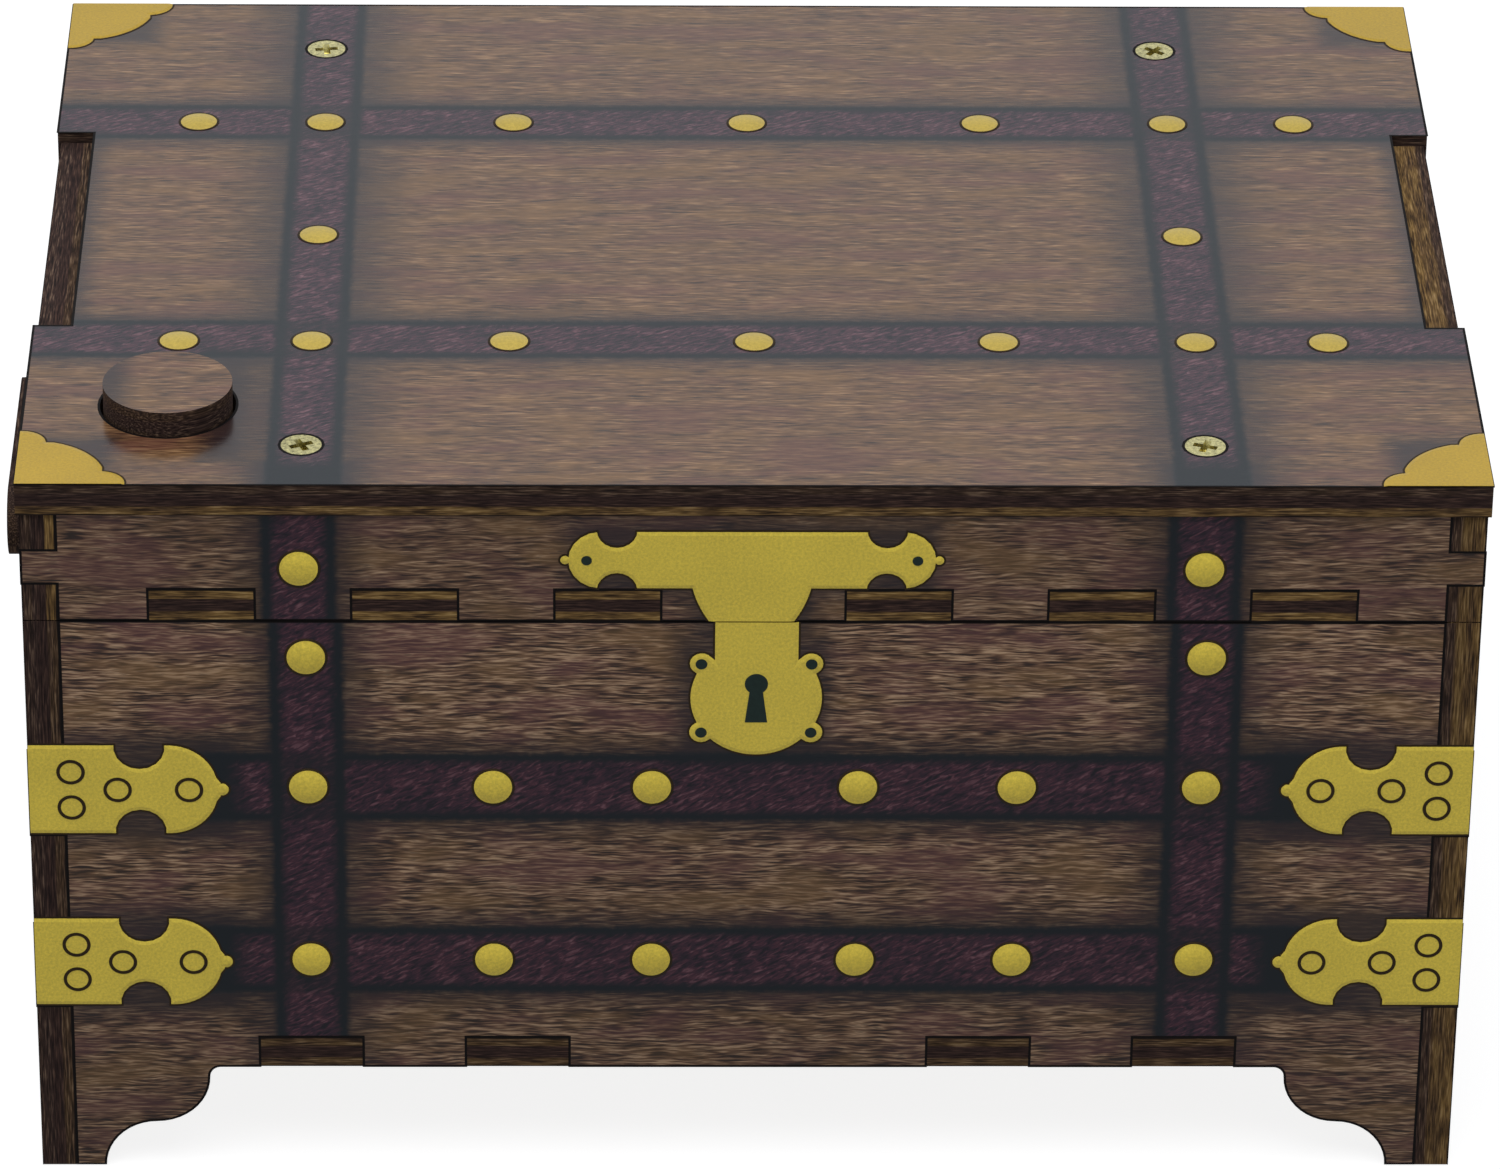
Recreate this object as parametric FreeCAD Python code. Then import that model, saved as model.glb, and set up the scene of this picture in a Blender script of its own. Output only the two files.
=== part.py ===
"""Push-button jack in the box, in the form of a small plywood treasure chest.

Millimetres, +Z up, +X to the right of the front, +Y to the back. The pieces are worked out about the
middle of the chest's walls, standing on z = 0, and saved about the middle of the whole footprint.
"""
import FreeCAD, Part
import math
import os

Vector = FreeCAD.Vector
X_AXIS = Vector(1, 0, 0)
Y_AXIS = Vector(0, 1, 0)
Z_AXIS = Vector(0, 0, 1)

# Plywood chest
PLY = 4.0                    # sheet thickness of every laser-cut piece
JOINT_GAP = 0.12             # what the cut leaves open on each side of a finger or tab
CHEST_W = 168.0              # width over the side walls
CHEST_D = 124.0              # depth over the front and back walls
SEAM_Z = 75.0                # top edge of the base
LID_GAP = 0.15               # light between the base and the lid
LID_WALL_H = 14.05           # height of the lid's walls, without the top
TOP_OVERHANG = 0.4           # lid top beyond the walls, all round

# Feet and aprons
APRON_H = 14.0               # open height under the base
FOOT_TOE = 7.5               # length of a foot on the ground, from the chest's corner
OVOLO_R = 6.3                # round above the foot's hollow
APRON_FILLET = 1.4           # where the foot runs into the apron

# Finger joints and tabs
FIRST_FINGER = 22.3          # height of the side wall's lowest corner finger
FINGER_H = 11.85             # the corner fingers above it
TAB_W = 12.0                 # tabs of both floors
BASE_TAB_FIRST = 27.3        # base floor's tabs in the front and back, from the middle
BASE_TAB_PITCH = 24.4
LID_TAB_FIRST = 16.75        # lid floor's tabs in the front and back, from the middle
LID_TAB_PITCH = 23.35
SIDE_TAB_FIRST = 22.0        # both floors' tabs in the side walls, from the middle
SIDE_TAB_PITCH = 40.0
TOP_SLOT_MID = 1.2           # middle of the lid top's side notches, behind the chest's middle
TOP_SLOT_L = 50.4            # length of those notches
TOP_TAB_SUNK = 1.4           # how far the side walls' long tabs stay below the top

# Countersunk wood screws of the lid
SCREW_R = 1.25
SCREW_HEAD_R = 2.5
SCREW_L = 12.0
SCREW_FROM_SIDE = 32.0       # from the side walls' outer faces
SCREW_FROM_FRONT = 9.1
SCREW_FROM_BACK = 12.2
POST_W = 8.0                 # square posts that take the screws
SCREW_CLEAR = 0.05           # round every screw and pin that is held fast
CROSS_W = 0.7                # cross recess in the heads
CROSS_L = 2.8
CROSS_DEEP = 0.9
FASTENER_SIDES = 16          # facets round screws and their holes

# Push button
BUTTON_R = 7.5
BUTTON_FROM_LEFT = 16.3      # from the left wall's outer face to the button's middle
BUTTON_FROM_FRONT = 18.6
BUTTON_PROUD = 3.0           # above the lid top
BUTTON_CLEAR = 0.5           # round the button, in the top
FLANGE_R = 10.0
FLANGE_T = 3.0
FLANGE_CLEAR = 0.05          # under the lid top

# Latch in the lid
PIVOT_BEHIND = 15.4          # the lever's pin behind the button's middle
PIVOT_UP = 4.85              # the pin above the lid floor
LATCH_PIN_R = 1.5
RUNNING_CLEAR = 0.05         # round a pin that something turns on
EYE_R = 3.5
ARM_BELOW = 2.6              # lever's arm below the pin's middle
ARM_ABOVE = 0.2              # and above it
BUMP_R = 2.0
BUMP_CLEAR = 0.1             # under the button's flange
SHANK_W = 3.5
NOSE_L = 3.0
NOSE_TIP_H = 2.0
NOSE_SLANT = 3.1             # how much taller the nose is at its root
NOSE_BELOW_SEAM = 5.4
NOSE_CLEAR = 0.4             # round the nose, in the keeper
LEVER_SIDE_CLEAR = 0.1
SLOT_SIDE_CLEAR = 0.5        # round the shank, in the lid floor
SLOT_FRONT_CLEAR = 0.6
SLOT_BEHIND_BUTTON = 3.5
BUSH_R = 3.0
INNER_BUSH_L = 2.4
BRACKET_D = 10.0
BRACKET_TOP_CLEAR = 1.2      # under the lid top
LEAF_SPRING_T = 0.4
LEAF_SPRING_W = 3.0
LEAF_SPRING_FOOT = 8.0       # flat length on the lid floor
LEAF_SPRING_TIP = 6.0        # rising length

# Keeper clip inside the base's front wall
KEEPER_T = 0.6
KEEPER_W = 7.0
KEEPER_LEG = 12.0
KEEPER_LIP = 3.1
KEEPER_SCREW_R = 0.8
KEEPER_HEAD_R = 1.6
KEEPER_HEAD_T = 0.8
KEEPER_SCREW_L = 3.5
KEEPER_SCREW_STEP = 4.0      # between its two screws

# Cover of the latch pin on the lid's left wall
COVER_L = 33.5
COVER_H = 8.6
COVER_T = 2.0
COVER_FORWARD = 9.75         # its middle in front of the pin
COVER_DOWN = 1.9             # and below it

# Brass stop hinges on the back
HINGE_X = 52.0
HINGE_W = 20.0
LEAF_H = 10.0
LEAF_T = 1.0
KNUCKLE_R = 2.0
KNUCKLE_CLEAR = 0.2          # between a knuckle and the wall
LEAF_EDGE_CLEAR = 0.4        # between a knuckle and the other leaf
KNUCKLE_GAP = 0.1            # between neighbouring knuckles
HINGE_PIN_R = 1.0
HINGE_SIDES = 16             # facets round the knuckles, their bores and the pins
STOP_REACH = 3.2             # the stop lug's tip from the hinge axis
STOP_T = 1.0
HINGE_SCREW_R = 0.9
HINGE_SCREW_L = 4.2
HINGE_SCREW_STEP = 12.0      # between a leaf's two screws

# Jack
JACK_HEADROOM = 2.0          # under the lid floor
HEAD_R = 15.0
HEAD_SIDES = 20              # facets round the head and the cap
SMALL_SIDES = 12             # facets round the nose, the bells and the cap's horns
CAP_T = 1.5
CAP_CLEAR = 0.2              # between the felt cap and the head
CAP_BRIM = 3.0               # the cap's edge above the head's middle
NECK_GAP = 3.0               # between the head and the platform
DOWEL_R = 4.0
DOWEL_IN_HEAD = 7.0
NOSE_R = 3.0
NOSE_SUNK = 0.3              # how far the nose sits in the head
NOSE_STEM_R = 1.5
NOSE_STEM_L = 5.0
HORN_OUT = 3.3               # middle of a horn's bend beyond the head
HORN_UP = 0.9                # and above the head's middle
HORN_BEND_W = 9.3            # reach of the bend to each side of that middle
HORN_BEND_H = 9.0            # and above it
HORN_ROOT_R = 6.3
HORN_TIP_R = 2.1
HORN_START = 125             # degrees above level at which the bend leaves the cap
HORN_END = -40               # and at which it ends
HORN_STEPS = 6
DISC_R = 26.0                # seat and platform
DISC_SIDES = 40              # facets round the hidden discs
BOSS_T = 3.0
BOSS_CLEAR = 0.2             # inside the coil
COIL_R = 20.0                # to the middle of the wire
WIRE = 2.0
COIL_PITCH = 2.5
COIL_STEPS = 16              # straight lengths in a turn
WIRE_SIDES = 6
RUFF_R = 21.0
RUFF_HOLE_R = 8.5
RUFF_T = 3.2
RUFF_PLEATS = 20
RUFF_PLEAT_DEEP = 2.5
GOWN_R = 35.0
GOWN_CLEAR = 0.4             # round the seat and the platform
GOWN_T = 1.0
GOWN_HEM = 2.0               # lapped over the platform's edge
GOWN_SIDES = 32
BELL_R = 2.8
BELL_CLEAR = 0.1             # between a bell and its horn's tip

HALF_W = CHEST_W / 2
HALF_D = CHEST_D / 2
INNER_W = HALF_W - PLY
INNER_D = HALF_D - PLY
FLOOR_TOP = APRON_H + PLY
LID_LOW = SEAM_Z + LID_GAP
LID_FLOOR_TOP = LID_LOW + PLY
LID_WALL_TOP = LID_LOW + LID_WALL_H
LID_TOP_Z = LID_WALL_TOP + PLY
SCREW_X = HALF_W - SCREW_FROM_SIDE
BUTTON_X = BUTTON_FROM_LEFT - HALF_W
BUTTON_Y = BUTTON_FROM_FRONT - HALF_D
FLANGE_TOP = LID_WALL_TOP - FLANGE_CLEAR
FLANGE_LOW = FLANGE_TOP - FLANGE_T
PIVOT_Y = BUTTON_Y + PIVOT_BEHIND
PIVOT_Z = LID_FLOOR_TOP + PIVOT_UP
LEVER_LEFT = BUTTON_X - PLY / 2
LEVER_RIGHT = BUTTON_X + PLY / 2
BRACKET_LEFT = LEVER_RIGHT + LEVER_SIDE_CLEAR + INNER_BUSH_L
BRACKET_RIGHT = BRACKET_LEFT + PLY
NOSE_TIP_Y = -INNER_D + KEEPER_T + NOSE_CLEAR
SHANK_FRONT = NOSE_TIP_Y + NOSE_L
SHANK_BACK = SHANK_FRONT + SHANK_W
NOSE_TOP = SEAM_Z - NOSE_BELOW_SEAM
KEEPER_LIP_Z = NOSE_TOP + NOSE_CLEAR
HINGE_Y = HALF_D + KNUCKLE_CLEAR + KNUCKLE_R
HINGE_Z = SEAM_Z + LID_GAP / 2
LEAF_EDGE = KNUCKLE_R + LEAF_EDGE_CLEAR
KNUCKLE_L = (HINGE_W - 2 * KNUCKLE_GAP) / 3
HINGE_HEAD_R = HINGE_SCREW_R + LEAF_T
HEAD_Z = LID_LOW - JACK_HEADROOM - CAP_T - HEAD_R
PLATFORM_TOP = HEAD_Z - HEAD_R - NECK_GAP
PLATFORM_LOW = PLATFORM_TOP - PLY
SEAT_TOP = FLOOR_TOP + PLY
BOSS_R = (COIL_R - WIRE / 2) * math.cos(math.pi / COIL_STEPS) - BOSS_CLEAR
# The lug behind the hinges and the overhang in front set the middle of the footprint.
FRAME_SHIFT = Vector(0, -(HINGE_Y + STOP_REACH - HALF_D - TOP_OVERHANG) / 2, 0)
CUT = 1.0                    # how far cutting blocks reach past what they cut


def block(x, y, z):
    """A box between three (low, high) pairs."""
    return Part.makeBox(x[1] - x[0], y[1] - y[0], z[1] - z[0], Vector(x[0], y[0], z[0]))


def rod(radius, start, end):
    """A round rod between two points."""
    along = end - start
    return Part.makeCylinder(radius, along.Length, start, along)


def joined(shapes):
    """One solid from shapes that meet, without the seams between them."""
    return shapes[0].fuse(shapes[1:]).removeSplitter()


def save(name, *solids):
    """Writes a node, about the middle of the whole footprint."""
    shape = solids[0] if len(solids) == 1 else Part.makeCompound(list(solids))
    shape = shape.copy()
    shape.translate(FRAME_SHIFT)
    shape.exportStep(f"parts/{name}.step")


def polygon_face(points):
    return Part.Face(Part.makePolygon(points + points[:1]))


def ring(middle, radius, sides, across, along):
    """Corners of a regular polygon round middle, in the plane of two unit vectors."""
    points = []
    for step in range(sides):
        angle = 2 * math.pi * step / sides
        points.append(middle + across * (radius * math.cos(angle)) + along * (radius * math.sin(angle)))
    return points


def skinned(rings):
    """A solid with flat facets through a row of rings of as many points each."""
    faces = [polygon_face(rings[0]), polygon_face(rings[-1])]
    for near, far in zip(rings[:-1], rings[1:]):
        for side in range(len(near)):
            beside = (side + 1) % len(near)
            faces.append(polygon_face([near[side], near[beside], far[beside]]))
            faces.append(polygon_face([near[side], far[beside], far[side]]))
    solid = Part.Solid(Part.makeShell(faces))
    if solid.Volume < 0:
        solid.reverse()
    return solid


def faceted_stem(start, along, stations, sides=FASTENER_SIDES):
    """A many-sided stem through (distance, radius) stations, for fasteners and their holes."""
    across = Z_AXIS if abs(along.z) < 0.5 else X_AXIS
    beside = along.cross(across)
    rings = [
        ring(start + along * distance, radius, sides, across, beside)
        for distance, radius in stations]
    return skinned(rings).removeSplitter()


def faceted_rod(radius, start, end, sides):
    """A many-sided rod between two points."""
    length = (end - start).Length
    return faceted_stem(start, (end - start).normalize(), [(0, radius), (length, radius)], sides)


def tab_places(first, pitch, room):
    """Places of a row of tabs on both sides of the middle, as many as the wall has room for."""
    places = []
    place = first
    while place + TAB_W / 2 < room - PLY:
        places += [-place, place]
        place += pitch
    return places


BASE_TABS = tab_places(BASE_TAB_FIRST, BASE_TAB_PITCH, INNER_W - FOOT_TOE)
LID_TABS = tab_places(LID_TAB_FIRST, LID_TAB_PITCH, INNER_W)
SIDE_TABS = tab_places(SIDE_TAB_FIRST, SIDE_TAB_PITCH, INNER_D)


# Walls and floors

def finger_spans(bounds):
    """Neighbouring spans between heights: the side walls' fingers, then the end walls'."""
    spans = list(zip(bounds[:-1], bounds[1:]))
    return spans[0::2], spans[1::2]


def end_wall(y_low, z_low, z_high, side_fingers, tabs):
    """A front or back wall, open for the side walls' fingers and for the floor's tabs."""
    through = (y_low - CUT, y_low + PLY + CUT)
    wall = block((-HALF_W, HALF_W), (y_low, y_low + PLY), (z_low, z_high))
    for low, high in side_fingers:
        heights = (low - JOINT_GAP, high + JOINT_GAP)
        wall = wall.cut(block((-HALF_W - CUT, -INNER_W + JOINT_GAP), through, heights))
        wall = wall.cut(block((INNER_W - JOINT_GAP, HALF_W + CUT), through, heights))
    return cut_tab_notches(wall, tabs, z_low, through, along_x=True)


def side_wall(x_low, z_low, z_high, end_fingers, tabs):
    """A left or right wall, open for the end walls' fingers and for the floor's tabs."""
    through = (x_low - CUT, x_low + PLY + CUT)
    wall = block((x_low, x_low + PLY), (-HALF_D, HALF_D), (z_low, z_high))
    for heights in end_fingers:
        wall = wall.cut(block(through, (-HALF_D - CUT, -INNER_D + JOINT_GAP), heights))
        wall = wall.cut(block(through, (INNER_D - JOINT_GAP, HALF_D + CUT), heights))
    return cut_tab_notches(wall, tabs, z_low, through, along_x=False)


def cut_tab_notches(wall, tabs, z_low, through, along_x):
    """Notches for a floor's tabs. They open at the floor's underside."""
    floor_low = APRON_H if z_low < APRON_H else z_low
    heights = (floor_low - CUT, floor_low + PLY + JOINT_GAP)
    for place in tabs:
        span = (place - TAB_W / 2 - JOINT_GAP, place + TAB_W / 2 + JOINT_GAP)
        notch = block(span, through, heights) if along_x else block(through, span, heights)
        wall = wall.cut(notch)
    return wall


def tabbed_floor(z_low, end_tabs, side_tabs):
    """A floor that fits between the walls, with tabs that come through them."""
    heights = (z_low, z_low + PLY)
    inside_x = INNER_W - JOINT_GAP
    inside_y = INNER_D - JOINT_GAP
    pieces = [block((-inside_x, inside_x), (-inside_y, inside_y), heights)]
    for place in end_tabs:
        span = (place - TAB_W / 2, place + TAB_W / 2)
        pieces.append(block(span, (-HALF_D, HALF_D), heights))
    for place in side_tabs:
        span = (place - TAB_W / 2, place + TAB_W / 2)
        pieces.append(block((-HALF_W, HALF_W), span, heights))
    return joined(pieces)


def arch_profile(half_length):
    """The open shape between two feet: a hollow, a round and a small fillet on each side."""
    cove_r = APRON_H - OVOLO_R - APRON_FILLET
    toe = FOOT_TOE - half_length
    waist = toe + cove_r
    hip = waist + OVOLO_R
    slant = math.sqrt(0.5)
    curves = [
        (Vector(toe, 0, 0),
         Vector(waist - cove_r * slant, 0, cove_r * slant),
         Vector(waist, 0, cove_r)),
        (Vector(waist, 0, cove_r),
         Vector(waist + OVOLO_R * slant, 0, cove_r + OVOLO_R * (1 - slant)),
         Vector(hip, 0, cove_r + OVOLO_R)),
        (Vector(hip, 0, cove_r + OVOLO_R),
         Vector(hip + APRON_FILLET * (1 - slant), 0, APRON_H - APRON_FILLET * (1 - slant)),
         Vector(hip + APRON_FILLET, 0, APRON_H)),
    ]
    left = [Part.Arc(*points).toShape() for points in curves]
    right = [edge.mirror(Vector(0, 0, 0), X_AXIS) for edge in left]
    crown = Part.makeLine(curves[-1][2], Vector(-hip - APRON_FILLET, 0, APRON_H))
    ground = Part.makePolygon([
        Vector(toe, 0, 0), Vector(toe, 0, -CUT), Vector(-toe, 0, -CUT), Vector(-toe, 0, 0)])
    edges = left + [crown] + right + ground.Edges
    return Part.Face(Part.Wire(Part.__sortEdges__(edges)))


def arch_cutter(half_length, reach):
    """The arch carried right through the chest along Y."""
    profile = arch_profile(half_length)
    profile.translate(Vector(0, -reach - CUT, 0))
    return profile.extrude(Vector(0, 2 * (reach + CUT), 0))


def make_base():
    bounds = [0.0] + [FIRST_FINGER + step * FINGER_H for step in range(4)] + [SEAM_Z]
    side_fingers, end_fingers = finger_spans(bounds)
    front_arch = arch_cutter(HALF_W, HALF_D)
    side_arch = arch_cutter(HALF_D, HALF_W)
    side_arch.rotate(Vector(0, 0, 0), Z_AXIS, 90)

    front = end_wall(-HALF_D, 0, SEAM_Z, side_fingers, BASE_TABS).cut(front_arch)
    for seat in keeper_screw_seats():
        front = front.cut(keeper_screw_hole(seat))
    back = end_wall(INNER_D, 0, SEAM_Z, side_fingers, BASE_TABS).cut(front_arch)
    back = cut_hinge_screws(back, -1)
    left = side_wall(-HALF_W, 0, SEAM_Z, end_fingers, SIDE_TABS).cut(side_arch)
    right = side_wall(INNER_W, 0, SEAM_Z, end_fingers, SIDE_TABS).cut(side_arch)
    save("base_front_wall", front)
    save("base_back_wall", back)
    save("base_left_wall", left)
    save("base_right_wall", right)
    save("base_floor", tabbed_floor(APRON_H, BASE_TABS, SIDE_TABS))


def make_lid_box():
    third = LID_WALL_H / 3
    bounds = [LID_LOW + step * third for step in range(4)]
    side_fingers, end_fingers = finger_spans(bounds)
    front = end_wall(-HALF_D, LID_LOW, LID_WALL_TOP, side_fingers, LID_TABS)
    back = end_wall(INNER_D, LID_LOW, LID_WALL_TOP, side_fingers, LID_TABS)
    back = cut_hinge_screws(back, 1)
    slot_front = TOP_SLOT_MID - TOP_SLOT_L / 2
    slot_back = TOP_SLOT_MID + TOP_SLOT_L / 2
    tab_span = (slot_front + JOINT_GAP, slot_back - JOINT_GAP)
    tab_heights = (LID_WALL_TOP - CUT, LID_TOP_Z - TOP_TAB_SUNK)
    sides = []
    for x_low in (-HALF_W, INNER_W):
        wall = side_wall(x_low, LID_LOW, LID_WALL_TOP, end_fingers, SIDE_TABS)
        sides.append(joined([wall, block((x_low, x_low + PLY), tab_span, tab_heights)]))
    pin_hole = rod(
        LATCH_PIN_R + SCREW_CLEAR,
        Vector(-HALF_W - CUT, PIVOT_Y, PIVOT_Z), Vector(-INNER_W + CUT, PIVOT_Y, PIVOT_Z))
    save("lid_front_wall", front)
    save("lid_back_wall", back)
    save("lid_left_wall", sides[0].cut(pin_hole))
    save("lid_right_wall", sides[1])

    floor = tabbed_floor(LID_LOW, LID_TABS, SIDE_TABS)
    shank_slot = block(
        (LEVER_LEFT - SLOT_SIDE_CLEAR, LEVER_RIGHT + SLOT_SIDE_CLEAR),
        (SHANK_FRONT - SLOT_FRONT_CLEAR, BUTTON_Y + SLOT_BEHIND_BUTTON),
        (LID_LOW - CUT, LID_FLOOR_TOP + CUT))
    save("lid_floor", floor.cut(shank_slot))

    reach_x = HALF_W + TOP_OVERHANG
    reach_y = HALF_D + TOP_OVERHANG
    heights = (LID_WALL_TOP - CUT, LID_TOP_Z + CUT)
    top = block((-reach_x, reach_x), (-reach_y, reach_y), (LID_WALL_TOP, LID_TOP_Z))
    inner_edge = INNER_W - JOINT_GAP
    top = top.cut(block((-reach_x - CUT, -inner_edge), (slot_front, slot_back), heights))
    top = top.cut(block((inner_edge, reach_x + CUT), (slot_front, slot_back), heights))
    button_low = Vector(BUTTON_X, BUTTON_Y, LID_WALL_TOP - CUT)
    button_high = Vector(BUTTON_X, BUTTON_Y, LID_TOP_Z + CUT)
    top = top.cut(rod(BUTTON_R + BUTTON_CLEAR, button_low, button_high))
    for place in screw_places():
        top = top.cut(lid_screw_hole(place))
    save("lid_top", top)


# Screws of the lid

def screw_places():
    return [
        Vector(side * SCREW_X, y, LID_TOP_Z)
        for side in (-1, 1)
        for y in (SCREW_FROM_FRONT - HALF_D, HALF_D - SCREW_FROM_BACK)]


def countersunk(head_r, shank_r, length, place, into):
    """A flat-headed screw whose head is level with place."""
    return faceted_stem(place, into, [(0, head_r), (head_r - shank_r, shank_r), (length, shank_r)])


def countersunk_hole(head_r, shank_r, length, place, into):
    """Room for such a screw, with the cone carried a little past the surface."""
    wide = head_r + SCREW_CLEAR + CUT
    narrow = shank_r + SCREW_CLEAR
    stations = [(-CUT, wide), (head_r - shank_r, narrow), (length + CUT / 2, narrow)]
    return faceted_stem(place, into, stations)


def lid_screw_hole(place):
    return countersunk_hole(SCREW_HEAD_R, SCREW_R, SCREW_L, place, -Z_AXIS)


def cross_recess(place):
    long_half = CROSS_L / 2
    short_half = CROSS_W / 2
    depth = (place.z - CROSS_DEEP, place.z + CUT)
    along_x = block((place.x - long_half, place.x + long_half),
                    (place.y - short_half, place.y + short_half), depth)
    along_y = block((place.x - short_half, place.x + short_half),
                    (place.y - long_half, place.y + long_half), depth)
    return along_x.fuse(along_y)


def make_lid_screws():
    screws = []
    posts = []
    for place in screw_places():
        screw = countersunk(SCREW_HEAD_R, SCREW_R, SCREW_L, place, -Z_AXIS)
        screws.append(screw.cut(cross_recess(place)))
        half = POST_W / 2
        post = block((place.x - half, place.x + half), (place.y - half, place.y + half),
                     (LID_FLOOR_TOP, LID_WALL_TOP))
        posts.append(post.cut(lid_screw_hole(place)))
    save("lid_screws", *screws)
    save("lid_posts", *posts)


# Button

def make_button():
    cap_top = LID_TOP_Z + BUTTON_PROUD
    heights = (FLANGE_LOW, FLANGE_TOP, cap_top - PLY, cap_top)
    flange_low, flange_top, cap_low, cap_high = [Vector(BUTTON_X, BUTTON_Y, z) for z in heights]
    save("button_cap", rod(BUTTON_R, cap_low, cap_high))
    save("button_core", faceted_rod(BUTTON_R, flange_top, cap_low, DISC_SIDES))
    save("button_flange", faceted_rod(FLANGE_R, flange_low, flange_top, DISC_SIDES))


# Latch

def make_latch():
    arm_low = PIVOT_Z - ARM_BELOW
    arm_high = PIVOT_Z + ARM_ABOVE
    nose_low = NOSE_TOP - NOSE_TIP_H
    outline = [
        (PIVOT_Y, arm_low), (SHANK_BACK, arm_low), (SHANK_BACK, nose_low - NOSE_SLANT),
        (SHANK_FRONT, nose_low - NOSE_SLANT), (NOSE_TIP_Y, nose_low), (NOSE_TIP_Y, NOSE_TOP),
        (SHANK_FRONT, NOSE_TOP), (SHANK_FRONT, arm_high), (PIVOT_Y, arm_high)]
    face = polygon_face([Vector(LEVER_LEFT, y, z) for y, z in outline])
    arm = face.extrude(Vector(PLY, 0, 0))
    bump_z = FLANGE_LOW - BUMP_CLEAR - BUMP_R
    pin_left = Vector(LEVER_LEFT, PIVOT_Y, PIVOT_Z)
    pin_right = Vector(LEVER_RIGHT, PIVOT_Y, PIVOT_Z)
    bump = rod(BUMP_R, Vector(LEVER_LEFT, BUTTON_Y, bump_z), Vector(LEVER_RIGHT, BUTTON_Y, bump_z))
    lever = joined([arm, bump, rod(EYE_R, pin_left, pin_right)])
    hole_start = pin_left - X_AXIS * CUT
    hole_end = pin_right + X_AXIS * CUT
    save("latch_lever", lever.cut(rod(LATCH_PIN_R + RUNNING_CLEAR, hole_start, hole_end)))

    def on_pin(radius, left, right):
        return rod(radius, Vector(left, PIVOT_Y, PIVOT_Z), Vector(right, PIVOT_Y, PIVOT_Z))

    save("latch_pin", on_pin(LATCH_PIN_R, -HALF_W, BRACKET_RIGHT))
    spans = [(-INNER_W, LEVER_LEFT - LEVER_SIDE_CLEAR),
             (LEVER_RIGHT + LEVER_SIDE_CLEAR, BRACKET_LEFT)]
    bore = LATCH_PIN_R + SCREW_CLEAR
    bushes = []
    for left, right in spans:
        ends = [Vector(x, PIVOT_Y, PIVOT_Z) for x in (left, right)]
        bush = faceted_rod(BUSH_R, *ends, FASTENER_SIDES)
        bushes.append(bush.cut(faceted_rod(bore, *ends, FASTENER_SIDES)))
    save("latch_bushes", *bushes)

    bracket = block(
        (BRACKET_LEFT, BRACKET_RIGHT),
        (PIVOT_Y - BRACKET_D / 2, PIVOT_Y + BRACKET_D / 2),
        (LID_FLOOR_TOP, LID_WALL_TOP - BRACKET_TOP_CLEAR))
    bracket = bracket.cut(on_pin(bore, BRACKET_LEFT - CUT, BRACKET_RIGHT + CUT))
    save("latch_bracket", bracket)

    foot_back = PIVOT_Y + LEAF_SPRING_FOOT / 2
    bend = foot_back - LEAF_SPRING_FOOT
    tip = bend - LEAF_SPRING_TIP
    foot_top = LID_FLOOR_TOP + LEAF_SPRING_T
    tip_top = arm_low - RUNNING_CLEAR
    strip = [
        (foot_back, LID_FLOOR_TOP), (bend, LID_FLOOR_TOP), (tip, tip_top - LEAF_SPRING_T),
        (tip, tip_top), (bend, foot_top), (foot_back, foot_top)]
    spring_left = BUTTON_X - LEAF_SPRING_W / 2
    face = polygon_face([Vector(spring_left, y, z) for y, z in strip])
    save("latch_spring", face.extrude(Vector(LEAF_SPRING_W, 0, 0)))


def make_pin_cover():
    """A plate with round ends over the end of the latch pin."""
    half_h = COVER_H / 2
    half_l = COVER_L / 2 - half_h
    mid_y = PIVOT_Y - COVER_FORWARD
    mid_z = PIVOT_Z - COVER_DOWN
    left = -HALF_W - COVER_T
    ends = [
        rod(half_h, Vector(left, mid_y + end * half_l, mid_z),
            Vector(-HALF_W, mid_y + end * half_l, mid_z))
        for end in (-1, 1)]
    middle = block((left, -HALF_W), (mid_y - half_l, mid_y + half_l), (mid_z - half_h, mid_z + half_h))
    save("pin_cover", joined([middle] + ends))


# Keeper

def keeper_screw_seats():
    """Where the screw heads sit on the clip."""
    z = KEEPER_LIP_Z - KEEPER_LEG + KEEPER_HEAD_R + KEEPER_T
    return [
        Vector(BUTTON_X + side * KEEPER_SCREW_STEP / 2, KEEPER_T - INNER_D, z)
        for side in (-1, 1)]


def keeper_screw_hole(seat):
    radius = KEEPER_SCREW_R + SCREW_CLEAR
    return faceted_stem(seat, -Y_AXIS, [(-CUT, radius), (KEEPER_SCREW_L + SCREW_CLEAR, radius)])


def make_keeper():
    span = (BUTTON_X - KEEPER_W / 2, BUTTON_X + KEEPER_W / 2)
    lip_top = KEEPER_LIP_Z + KEEPER_T
    leg = block(span, (-INNER_D, -INNER_D + KEEPER_T), (KEEPER_LIP_Z - KEEPER_LEG, lip_top))
    lip = block(span, (-INNER_D, -INNER_D + KEEPER_LIP), (KEEPER_LIP_Z, lip_top))
    clip = joined([leg, lip])
    screws = []
    for seat in keeper_screw_seats():
        head = faceted_stem(seat, Y_AXIS, [(0, KEEPER_HEAD_R), (KEEPER_HEAD_T, KEEPER_HEAD_R)])
        shank = faceted_stem(seat, -Y_AXIS, [(0, KEEPER_SCREW_R), (KEEPER_SCREW_L, KEEPER_SCREW_R)])
        screws.append(joined([head, shank]))
        clip = clip.cut(keeper_screw_hole(seat))
    save("keeper_clip", clip)
    save("keeper_screws", *screws)


# Hinges

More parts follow.
